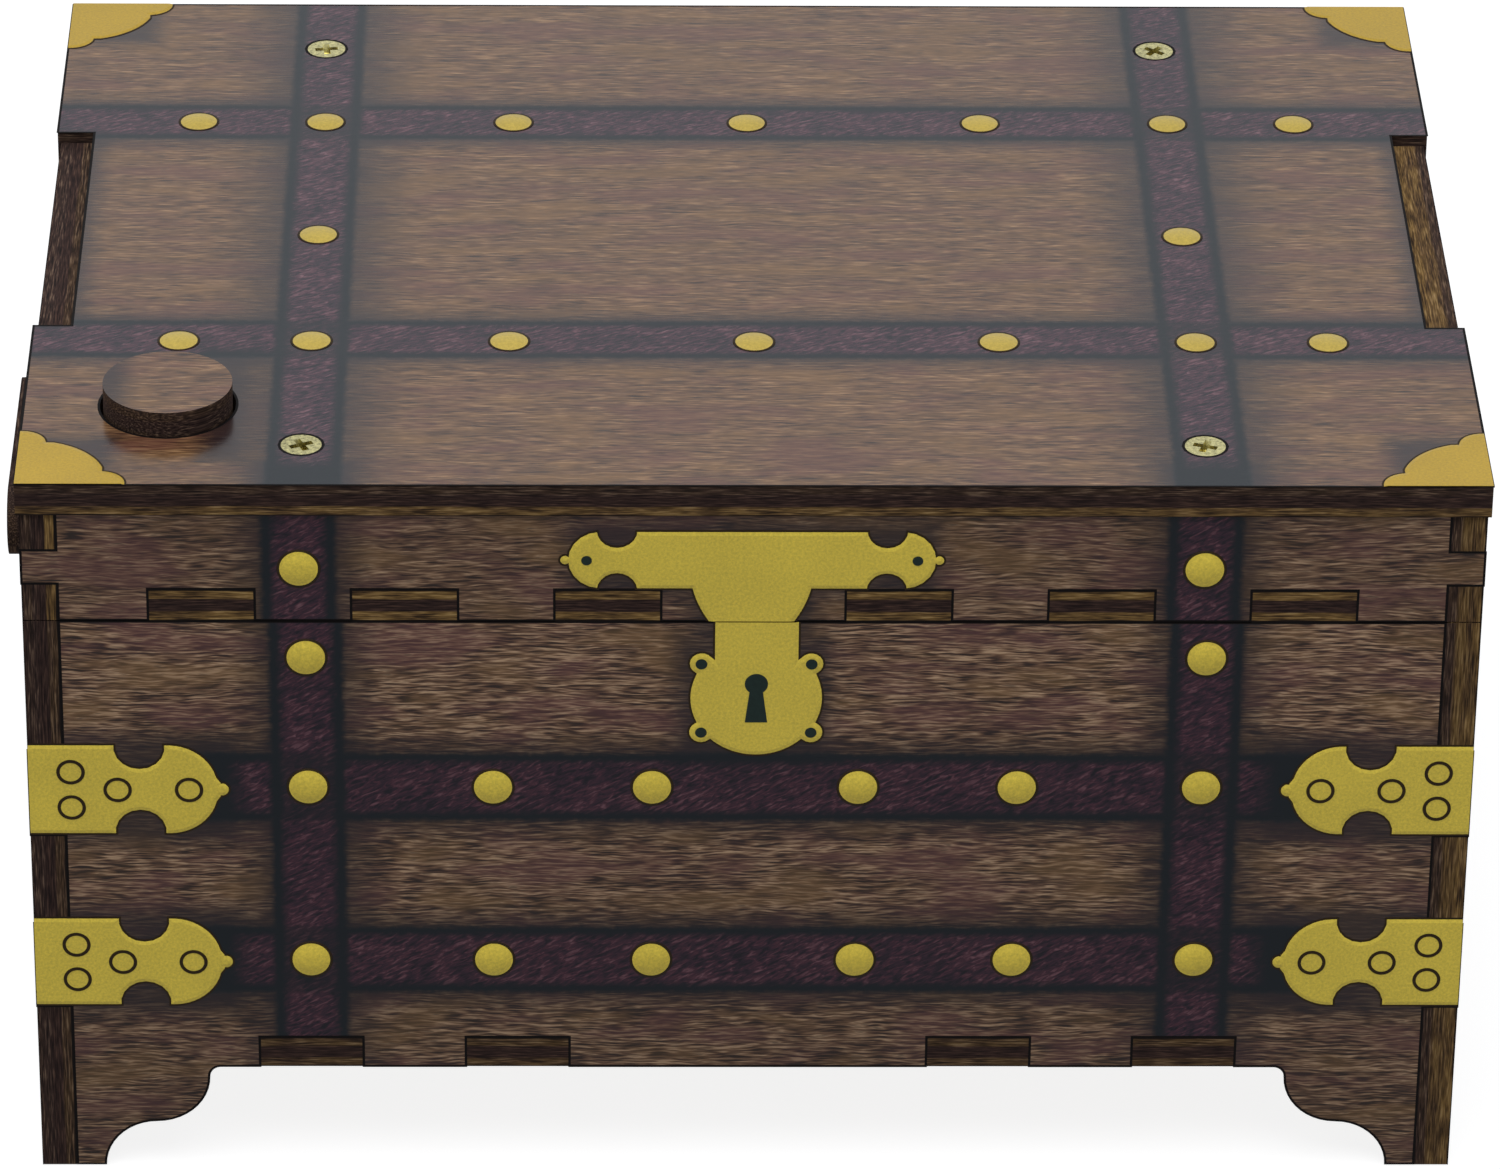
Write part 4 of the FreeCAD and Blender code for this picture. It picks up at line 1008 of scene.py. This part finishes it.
def make_top_corners():
    bm = bmesh.new()
    for x, across in ((TOP_LOW.x, 1), (TOP_HIGH.x, -1)):
        for y, up in ((TOP_LOW.y, 1), (TOP_HIGH.y, -1)):
            add_shape(bm, scalloped_corner(), at(TOP, x, y, flip=(across, up)))
    print_brass("top_corners", "lid", bm, brass=TOP_BRASS)


BURN_LINE = 0.17            # dark line that the laser leaves along a cut
BURN_OVERHANG = 0.12        # how far it reaches over the gap of a joint
BURN_LIFT = 0.02            # and how far it lies above the sheet
FACE_SLACK = 0.05           # how far from a printed face's level its triangles may lie


def burnt_outline(bm, node, face):
    """The dark line that the laser leaves round a printed face, a little wider than the face itself."""
    shape = bmesh.new()
    shape.from_mesh(NODES[node].data)
    bmesh.ops.remove_doubles(shape, verts=shape.verts, dist=2 * WELD * MM)

    def is_printed(sheet_face):
        height = sheet_face.calc_center_median().dot(face.out) - face.level * MM
        return sheet_face.normal.dot(face.out) >= 0.99 and abs(height) <= FACE_SLACK * MM

    drop(shape, [sheet_face for sheet_face in shape.faces if not is_printed(sheet_face)])
    bmesh.ops.dissolve_limit(shape, angle_limit=math.radians(1), verts=shape.verts, edges=shape.edges)
    drop(shape, inset(shape, shape.faces[:], -BURN_OVERHANG * MM))
    band = set(inset(shape, shape.faces[:], (BURN_LINE + BURN_OVERHANG) * MM))
    drop(shape, [sheet_face for sheet_face in shape.faces if sheet_face not in band])
    # Nothing of it reaches below the feet.
    cut_off(shape, (0, 0, 0), (0, 0, -1))
    add_shape(bm, solid(shape, PRINT_T * MM), Matrix.Translation(face.out * BURN_LIFT * MM))


def make_burnt_outlines():
    for body in ("base", "lid"):
        bm = bmesh.new()
        for side, face in (("front", FRONT), ("back", BACK), ("left", LEFT), ("right", RIGHT)):
            burnt_outline(bm, f"{body}_{side}_wall", face)
        if body == "lid":
            burnt_outline(bm, "lid_top", TOP)
        finish_piece(body + "_burnt_edges", bm, body, [BURN])


make_studs()
make_corner_plates()
make_lock()
make_top_corners()
make_burnt_outlines()


# Screws

LID_SCREW_Y = (FRONT_Y + 9.1, BACK_Y - 12.2)
LID_SCREW = (2.36, 1.25, 12.0)      # radius of the head and of the shank, and length
LID_SCREW_TURNS = (25, 70, 8, 52)   # where each one's cross came to rest, in degrees
HINGE_SCREW = (1.9, 0.9, 4.2)
HINGE_SCREW_TURN = 17               # one way or the other, on top of the hinge's place read as degrees
HINGE_X = 52.0
HINGE_SCREW_STEP = 12.0             # between a leaf's two screws
SCREW_SEGMENTS = 28
RECESS_TAPER = 0.75                 # the recess's floor against its mouth


def pull(shape, edges, matrix):
    """Extrudes a ring of edges and moves the new ring, whose edges it gives back."""
    made = bmesh.ops.extrude_edge_only(shape, edges=edges)["geom"]
    verts = only(VERT, made)
    bmesh.ops.transform(shape, matrix=matrix, verts=verts)
    return [edge for edge in only(EDGE, made) if edge.verts[0] in verts and edge.verts[1] in verts]


def lowered(depth, width=1.0):
    return Matrix.Translation((0, 0, -depth)) @ Matrix.Diagonal((width, width, 1, 1))


def turned(degrees, axis="Z"):
    return Matrix.Rotation(math.radians(degrees), 4, axis)


def cross_screw(head_r, shank_r, length):
    """Countersunk screw with a cross recess, its head at z = 0 and its shank below."""
    long_half, short_half, recess = 0.6 * head_r, 0.17 * head_r, 0.45 * head_r
    corner = [Vector(point) for point in ((long_half, -short_half), (long_half, short_half),
                                          (short_half, short_half))]
    quarters = [Matrix.Rotation(math.radians(90 * quarter), 2) for quarter in range(4)]
    outline = [quarter @ point for quarter in quarters for point in corner]
    shape = Pen(outline[-1]).line(*outline).bm
    weld(shape)
    cross = shape.edges[:]
    rim_verts = bmesh.ops.create_circle(shape, segments=SCREW_SEGMENTS, radius=head_r)["verts"]
    rim = [edge for edge in shape.edges if edge.verts[0] in rim_verts]
    bmesh.ops.triangle_fill(shape, use_beauty=True, edges=shape.edges)
    deep = pull(shape, cross, lowered(recess, RECESS_TAPER))
    bmesh.ops.triangle_fill(shape, use_beauty=True, edges=deep)
    head_height = head_r - shank_r
    neck = pull(shape, rim, lowered(head_height, shank_r / head_r))
    end = pull(shape, neck, lowered(length - head_height))
    bmesh.ops.contextual_create(shape, geom=end)
    return shape


def make_screws():
    places = [(side * STRAP_X, y) for y in LID_SCREW_Y for side in SIDES]
    bm = bmesh.new()
    for (x, y), turn in zip(places, LID_SCREW_TURNS):
        add_shape(bm, cross_screw(*LID_SCREW), at(TOP, x, y, 0) @ turned(turn))
    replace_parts(finish_piece("lid_cross_screws", bm, "lid", [SCREW_BRASS]), "lid_screws")
    for body, node in (("base", "hinge_base_screws"), ("lid", "hinge_lid_screws")):
        low, high = box_mm(node)
        bm = bmesh.new()
        for hinge in (-HINGE_X, HINGE_X):
            for side in SIDES:
                across = hinge + side * HINGE_SCREW_STEP / 2
                place = at(BACK.moved(high.y), across, (low.z + high.z) / 2, 0)
                add_shape(bm, cross_screw(*HINGE_SCREW), place @ turned(HINGE_SCREW_TURN * side + hinge))
        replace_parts(finish_piece(body + "_hinge_cross_screws", bm, body, [SCREW_BRASS]), node)


# The jack

ON_JACK = Matrix.Scale(MM, 4) @ Matrix.Translation((0, JACK_Y, 0))
ON_HEAD = Matrix.Scale(MM, 4) @ Matrix.Translation(HEAD_MIDDLE)


def lathe(outline, steps=64):
    """Turns (radius, height) points round the upright axis."""
    shape = bmesh.new()
    tip = shape.verts.new((outline[0][0], 0, outline[0][1]))
    for radius, height in outline[1:]:
        tip = bmesh.ops.extrude_vert_indiv(shape, verts=[tip])["verts"][0]
        tip.co = Vector((radius, 0, height))
    bmesh.ops.spin(shape, geom=shape.verts[:] + shape.edges[:], cent=(0, 0, 0), axis=(0, 0, 1),
                   angle=2 * math.pi, steps=steps, use_merge=True)
    weld(shape)
    return shape


def round_run(radius, start, end, steps, middle=(0, 0)):
    """(radius, height) points on an arc, by its angles from level."""
    angles = [math.radians(start + (end - start) * step / steps) for step in range(steps + 1)]
    return [(middle[0] + radius * math.cos(a), middle[1] + radius * math.sin(a)) for a in angles]


# The face, in millimetres across and up from the middle of the head's front
COAT_T = 0.05               # thickness of a coat of paint
OVAL_RINGS = 3
SMALL_SEGMENTS = 32         # round ovals, the nose and the bells
STROKE_STEPS = 20
WHITE, BLACK, RED = 1, 2, 3         # places in the head's list of finishes
EYE = (5.4, -0.3)           # middle of the right eye
# The third coat, a small white dot on the pupil, is a painted highlight.
EYE_COATS = (               # half sizes, finish and place from the eye's middle, from below
    ((1.75, 2.1), WHITE, (0, 0)), ((0.95, 1.25), BLACK, (0, -0.35)), ((0.3, 0.35), WHITE, (0.3, 0.25)))
SMILE = (                   # mouth and dimples: radius, width and angles of a stroke, its middle and its lift
    ((6.6, 0.75, 212, 328), (0, -2.2), 0.05),
    ((1.0, 0.5, 200, 290), (-5.75, -4.9), 0.06),
    ((1.0, 0.5, 250, 340), (5.75, -4.9), 0.06))
NECK_BEAD_R, NECK_BEAD_MIDDLE = 0.8, (4.6, -14.2)
NOSE_R = 3.0
NOSE_STEM = [(0, -7.6), (1.5, -7.6), (1.5, -2.9)]


def painted(shape, index, middle, lift, radius=HEAD_R):
    """A coat of paint in the shape of a flat patch, laid on the front of a ball."""
    coat(shape.faces, index)
    bmesh.ops.translate(shape, verts=shape.verts, vec=(*middle, 0))
    solid(shape, COAT_T)
    for vert in shape.verts:
        across, up = vert.co.x / radius, vert.co.y / radius
        way = Vector((math.sin(across) * math.cos(up), -math.cos(across) * math.cos(up), math.sin(up)))
        vert.co = way * (radius + lift + vert.co.z)
    return shape


def oval(half_wide, half_high):
    """A filled oval with rings enough to lie on a ball."""
    shape = disc(1.0, SMALL_SEGMENTS)

    def middle():
        return [face for face in shape.faces if len(face.verts) > 4]

    for _ in range(OVAL_RINGS):
        inset(shape, middle(), 1 / (OVAL_RINGS + 1))
    bmesh.ops.poke(shape, faces=middle())
    bmesh.ops.scale(shape, verts=shape.verts, vec=(half_wide, half_high, 1))
    return shape


def stroke(radius, width, start, end):
    """A painted arc about the patch's middle, by its angles from level."""
    shape = bmesh.new()
    angle = math.radians(start)
    way = Vector((math.cos(angle), math.sin(angle), 0))
    edge = shape.edges.new([shape.verts.new(way * (radius + side * width / 2)) for side in SIDES])
    bmesh.ops.spin(shape, geom=[*edge.verts, edge], cent=(0, 0, 0), axis=(0, 0, 1),
                   angle=math.radians(end - start), steps=STROKE_STEPS, use_merge=False)
    return shape


def make_head():
    bead = round_run(NECK_BEAD_R, -90, 60, 6, NECK_BEAD_MIDDLE)
    bm = moved_shape(lathe([(0, -HEAD_R)] + bead + round_run(HEAD_R, -70, 90, 32)), ON_HEAD)
    for side in SIDES:
        for layer, (size, index, (across, up)) in enumerate(EYE_COATS, 1):
            middle = (side * EYE[0] + across, EYE[1] + up)
            add_shape(bm, painted(oval(*size), index, middle, layer * COAT_T), ON_HEAD)
    for arc, middle, lift in SMILE:
        add_shape(bm, painted(stroke(*arc), RED, middle, lift), ON_HEAD)
    materials = [painted_head(), WHITE_GLOSS, BLACK_GLOSS, RED_GLOSS]
    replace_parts(finish_piece("painted_head", bm, "jack", materials, smooth=True), "head")
    nose_middle = Vector((0, box_mm("nose")[0].y + NOSE_R, HEAD_MIDDLE.z))
    place = Matrix.Scale(MM, 4) @ Matrix.Translation(nose_middle) @ turned(90, "X")
    bm = moved_shape(lathe(NOSE_STEM + round_run(NOSE_R, -56, 90, 14), SMALL_SEGMENTS), place)
    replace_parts(finish_piece("round_nose", bm, "jack", [RED_GLOSS], smooth=True), "nose")


YELLOW = 1                  # place in the cap's list of finishes
CAP_R = 16.5                # outside of the felt
CAP_IN = HEAD_R + 0.3
BRIM_R, BRIM_MIDDLE = 0.85, (15.95, 4.0)
HORN_TURNS = (0, math.pi / 2, math.pi)      # right, back and left
HORN_STEPS = 14
HORN_START, HORN_SWEEP = 125, 165   # where a horn's bend starts and how far it goes, in degrees
HORN_REACH, HORN_REACH_R = 1.22, 0.62       # middle and radius of the bend, outwards, in head radii
HORN_RISE, HORN_RISE_R = 0.06, 0.6          # and upwards
HORN_ROOT, HORN_TAPER = 0.42, 0.28          # a horn's own radius at the cap, and how much it loses to the tip
HORN_SEGMENTS = 28
BELL_R = 2.8
BELL_GAP = 0.1              # between a horn's tip and the ball of its bell, which the crown bridges
BELL_CROWN = [(0, BELL_R + 0.25), (0.7, BELL_R + 0.25), (0.9, BELL_R - 0.15)]
BELL_RIM = [(BELL_R, 0.28), (BELL_R + 0.22, 0.16), (BELL_R + 0.22, -0.16), (BELL_R, -0.28)]
BELL_SLOT, BELL_HOLE = (2.6, 0.22), (0.5, 0.5)      # half sizes of the painted slot and of the hole at each end, dark ovals of painted shade in place of an opening


def horn_frames(turn):
    """Rings along a drooping horn of the cap, each as a matrix, from the cap to the tip."""
    outward = Vector((math.cos(turn), math.sin(turn), 0))
    sideways = Vector((0, 0, 1)).cross(outward)
    frames = []
    for step in range(HORN_STEPS + 1):
        share = step / HORN_STEPS
        bend = math.radians(HORN_START - HORN_SWEEP * share)
        reach = HEAD_R * (HORN_REACH + HORN_REACH_R * math.cos(bend))
        rise = HEAD_R * (HORN_RISE + HORN_RISE_R * math.sin(bend))
        along = (outward * math.sin(bend) - Vector((0, 0, math.cos(bend)))).normalized()
        middle = outward * reach + Vector((0, 0, rise))
        facing = Matrix((sideways, along.cross(sideways), along)).transposed().to_4x4()
        size = Matrix.Scale(HEAD_R * (HORN_ROOT - HORN_TAPER * share), 4)
        frames.append(Matrix.Translation(middle) @ facing @ size)
    return frames


def horn(frames):
    shape = bmesh.new()
    bmesh.ops.create_circle(shape, cap_ends=True, segments=HORN_SEGMENTS, radius=1, matrix=frames[0])
    rim = shape.edges[:]
    for before, after in zip(frames, frames[1:]):
        rim = pull(shape, rim, after @ before.inverted())
    bmesh.ops.contextual_create(shape, geom=rim)
    coat(shape.faces, YELLOW)
    return shape


def bell():
    """Round bell with a rim, a crown and a slot below, hanging along -z; the slot and its end holes are dark
    ovals, painted shade where the opening would be.
    """
    upper, lower = round_run(BELL_R, 68, 7, 8), round_run(BELL_R, -7, -90, 10)
    shape = lathe(BELL_CROWN + upper + BELL_RIM + lower, SMALL_SEGMENTS)
    # Painted shade: dark ovals stand in for the slot's opening and its end holes.
    painted_slot_shade = [(BELL_SLOT, 0, 0.04), (BELL_HOLE, -BELL_SLOT[0], 0.05), (BELL_HOLE, BELL_SLOT[0], 0.05)]
    for size, across, lift in painted_slot_shade:
        add_shape(shape, painted(oval(*size), INK_FINISH, (across, 0), lift, BELL_R), turned(90, "X"))
    return shape


def make_cap():
    brim = round_run(BRIM_R, 75, -180, 10, BRIM_MIDDLE)
    bm = moved_shape(lathe(round_run(CAP_R, 90, 17, 22) + brim + round_run(CAP_IN, 15, 90, 20)), ON_HEAD)
    bells = bmesh.new()
    for turn in HORN_TURNS:
        frames = horn_frames(turn)
        add_shape(bm, horn(frames), ON_HEAD)
        tip = frames[-1] @ Matrix.Scale(1 / frames[-1].to_scale().x, 4)
        away = Matrix.Translation((0, 0, BELL_R + BELL_GAP)) @ turned(180, "X")
        add_shape(bells, bell(), ON_HEAD @ tip @ away)
    # The two colours change places on the left.
    for face in bm.faces:
        left = face.calc_center_median().x < 0
        face.material_index = (face.material_index + left) % 2
    piece = finish_piece("felt_cap", bm, "jack", [RED_FELT, YELLOW_FELT], smooth=True)
    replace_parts(piece, "jester_cap")
    piece = finish_piece("round_bells", bells, "jack", [BRASS, PRINT_INK], smooth=True)
    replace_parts(piece, "cap_bells")


CLOTH_T = 0.3
RUFF_FLUTES = 18
RUFF_RINGS = 9
RUFF_HEIGHT = 1.6           # of its middle above the platform
FLUTE_DEPTH = 1.3           # at the hem, up and down
FLUTE_GROWTH = 0.8          # how the depth grows towards the hem, as a power of the way out
FLUTE_DRIFT = 0.3           # makes the flutes a little uneven, in radians
GOWN_FOLDS = 24
GOWN_IN, GOWN_OUT = 27.3, 33.4
GOWN_HEM_R = 24.2           # of its upper edge, turned in over the platform
GOWN_GAP = 0.3              # above the floor and the platform
GOWN_SWAYS = ((0.5, 5, 1), (0.3, 11, -2))   # size of each, waves round the gown and turn with the height
GOWN_SEGMENTS, FLUTE_SEGMENTS, WIRE_SEGMENTS = 96, 10, 12
COIL_R = 20.0
WIRE_R = 1.0
COIL_TURNS = 4
COIL_STEPS = 40             # in one turn
COIL_GAP = 0.1              # above the seat and below the platform
HALVINGS = 40               # of the range in which a height at rest is searched


def thicken(piece, thickness):
    wall = piece.modifiers.new("cloth_thickness", "SOLIDIFY")
    wall.thickness = thickness * MM
    wall.offset = 0.0


def make_ruff():
    """Fluted collar that lies on the platform round the neck."""
    width = RUFF_OUT - RUFF_IN
    radii = [RUFF_IN + width * step / RUFF_RINGS for step in range(RUFF_RINGS + 1)]
    shape = lathe([(radius, PLATFORM_Z + RUFF_HEIGHT) for radius in radii], RUFF_FLUTES * FLUTE_SEGMENTS)
    for vert in shape.verts:
        angle = math.atan2(vert.co.y, vert.co.x)
        out = max(0.0, vert.co.xy.length - RUFF_IN) / width
        drift = FLUTE_DRIFT * math.sin(3 * angle)
        vert.co.z += FLUTE_DEPTH * out ** FLUTE_GROWTH * math.cos(RUFF_FLUTES * angle + drift)
    bm = moved_shape(shape, ON_JACK)
    piece = finish_piece("fluted_ruff", bm, "jack", [ruff_cloth()], smooth=True)
    thicken(piece, CLOTH_T)
    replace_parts(piece, "ruff_collar")


def squeezed(sprung, low, high):
    """Where a point lies at rest that has this height once the jack is up."""
    bottom, top = low, high
    for _ in range(HALVINGS):
        height = (bottom + top) / 2
        share = (height - low) / (high - low)
        risen = height + JACK_RISE * share * share * (3 - 2 * share)
        bottom, top = (height, top) if risen < sprung else (bottom, height)
    return height


def make_gown():
    """Pleated tube from the base floor to the platform, its folds placed where even folds of the risen jack
    would come to rest.
    """
    low, high = FLOOR_Z + GOWN_GAP, PLATFORM_Z + GOWN_GAP
    outline = []
    for fold in range(GOWN_FOLDS + 1):
        sprung = low + (high + JACK_RISE - low) * fold / GOWN_FOLDS
        outline.append((GOWN_OUT if fold % 2 else GOWN_IN, squeezed(sprung, low, high)))
    shape = lathe(outline + [(GOWN_HEM_R, high)], GOWN_SEGMENTS)
    for vert in shape.verts:
        angle = math.atan2(vert.co.y, vert.co.x)
        loose = max(0.0, (vert.co.xy.length - GOWN_IN) / (GOWN_OUT - GOWN_IN))
        sway = sum(size * math.sin(waves * angle + lean * vert.co.z) for size, waves, lean in GOWN_SWAYS)
        vert.co.xy *= 1 + loose * sway / GOWN_OUT
    bm = moved_shape(shape, ON_JACK)
    piece = finish_piece("pleated_gown", bm, None, [gown_cloth()], smooth=True)
    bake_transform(piece)
    thicken(piece, CLOTH_T)
    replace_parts(piece, "gown")


def make_spring():
    """Round wire wound to its sprung length, then drawn together to rest."""
    low, high = SEAT_Z + COIL_GAP, PLATFORM_LOW - COIL_GAP
    rise = high + JACK_RISE - low - 2 * WIRE_R
    steps = COIL_TURNS * COIL_STEPS
    shape = bmesh.new()
    upright = Matrix.Translation((COIL_R, 0, low + WIRE_R)) @ turned(90, "X")
    made = bmesh.ops.create_circle(shape, segments=WIRE_SEGMENTS, radius=WIRE_R, matrix=upright)
    end = shape.edges[:]
    wound = bmesh.ops.spin(shape, geom=made["verts"] + end, cent=(0, 0, 0), axis=(0, 0, 1),
                           angle=2 * math.pi * COIL_TURNS, steps=steps, dvec=(0, 0, rise / steps))
    for edges in (end, only(EDGE, wound["geom_last"])):
        bmesh.ops.contextual_create(shape, geom=edges)
    for vert in shape.verts:
        vert.co.z = squeezed(vert.co.z, low, high)
    bm = moved_shape(shape, ON_JACK)
    piece = finish_piece("coil_spring", bm, None, [STEEL], smooth=True)
    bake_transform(piece)
    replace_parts(piece, "jack_spring")


LEAF_T = 0.4                # thickness of the strip under the latch lever
LEAF_FOOT = 8.0             # its flat length on the lid floor
LEAF_STEPS = 8              # short runs of its rising length


def make_leaf_spring():
    """Steel strip that holds the latch lever up."""
    low, high = box_mm("latch_spring")
    bend = high.y - LEAF_FOOT
    run, rise = low.y - bend, high.z - LEAF_T - low.z
    shares = [step / LEAF_STEPS for step in range(LEAF_STEPS + 1)]
    rising = [(bend + run * share, low.z + rise * share) for share in shares]
    upper = [(y, z + LEAF_T) for y, z in reversed(rising)]
    shape = Pen((high.y, low.z)).line(*rising, *upper, (high.y, low.z + LEAF_T), (high.y, low.z)).fill()
    face_up(shape)
    bm = moved_shape(solid(shape, high.x - low.x), RIGHT.moved(high.x).matrix())
    piece = finish_piece("leaf_spring", bm, None, [STEEL])
    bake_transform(piece)
    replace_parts(piece, "latch_spring")


make_screws()
make_head()
make_cap()
make_ruff()
make_gown()
make_spring()
make_leaf_spring()


# Stage, lights and camera, in metres where no other unit is named

FLOOR_SIZE = 4.0
FLOOR_DROP = 0.0002         # keeps the floor clear of the feet
FLOOR_COLOUR = (0.26, 0.26, 0.265, 1)
FLOOR_GLOW = 0.86           # lifts the lit floor to white where it is seen
WORLD_LIGHT = 0.3
WORLD_TINT = (0.92, 0.96, 1.0, 1)   # cool light and reflections round the object
LAMP_PLACE = (-0.1, -0.34, 1.18)
LAMP_AIM = Vector((0, 0, 0.05))
LAMP_WIDTH, LAMP_DEPTH = 1.2, 1.0
LAMP_POWER = 13.8           # watts
CAMERA_PLACE_MM = Vector((-18.4, -896.2, 557.9))
CAMERA_PITCH, CAMERA_YAW, CAMERA_ROLL = 29.877, 1.238, 0.699    # degrees down, to the right and round
SENSOR_MM, LENS_MM = 36.0, 200.5


def seen_rays(w):
    """1 for rays that show the background itself: straight, mirrored or through glass."""
    rays = w.wire(w.add("LightPath"))
    mirrored = w.math("MAXIMUM", rays["Is Glossy Ray"], rays["Is Transmission Ray"])
    return w.math("MAXIMUM", rays["Is Camera Ray"], mirrored)


def add_object(name, data):
    made = bpy.data.objects.new(name, data)
    bpy.context.scene.collection.objects.link(made)
    return made


def make_floor():
    mesh = bpy.data.meshes.new("floor")
    bm = bmesh.new()
    bmesh.ops.create_grid(bm, x_segments=1, y_segments=1, size=FLOOR_SIZE)
    bm.to_mesh(mesh)
    bm.free()
    floor = add_object("floor", mesh)
    floor.location.z = -FLOOR_DROP
    material, w = new_material("pale_floor")
    w.surface(Base_Color=FLOOR_COLOUR, Roughness=0.9, Specular_IOR_Level=0.0, Emission_Color=PLAIN,
              Emission_Strength=seen_rays(w) * FLOOR_GLOW)
    mesh.materials.append(material)


def make_world():
    world = bpy.data.worlds.new("studio")
    bpy.context.scene.world = world
    world.use_nodes = True
    w = Wiring(world.node_tree)
    straight = w.one("LightPath", output="Is Camera Ray")
    w.wire(world.node_tree.nodes["Background"], Color=w.mix(straight, WORLD_TINT, PLAIN),
           Strength=w.blend(seen_rays(w), WORLD_LIGHT, 1.0))


def make_lamp():
    data = bpy.data.lights.new("overhead_softbox", "AREA")
    data.shape = "RECTANGLE"
    data.size = LAMP_WIDTH
    data.size_y = LAMP_DEPTH
    data.energy = LAMP_POWER
    lamp = add_object("overhead_softbox", data)
    lamp.location = LAMP_PLACE
    lamp.rotation_euler = (LAMP_AIM - lamp.location).to_track_quat("-Z", "Y").to_euler()


def make_camera():
    data = bpy.data.cameras.new("photo_view")
    data.sensor_width = SENSOR_MM
    data.lens = LENS_MM
    camera = add_object("photo_view", data)
    turn = turned(-CAMERA_YAW) @ turned(90 - CAMERA_PITCH, "X") @ turned(CAMERA_ROLL)
    camera.matrix_world = Matrix.Translation(CAMERA_PLACE_MM * MM) @ turn
    bpy.context.scene.camera = camera


make_floor()
make_world()
make_lamp()
make_camera()
bpy.context.scene.view_settings.view_transform = "Standard"
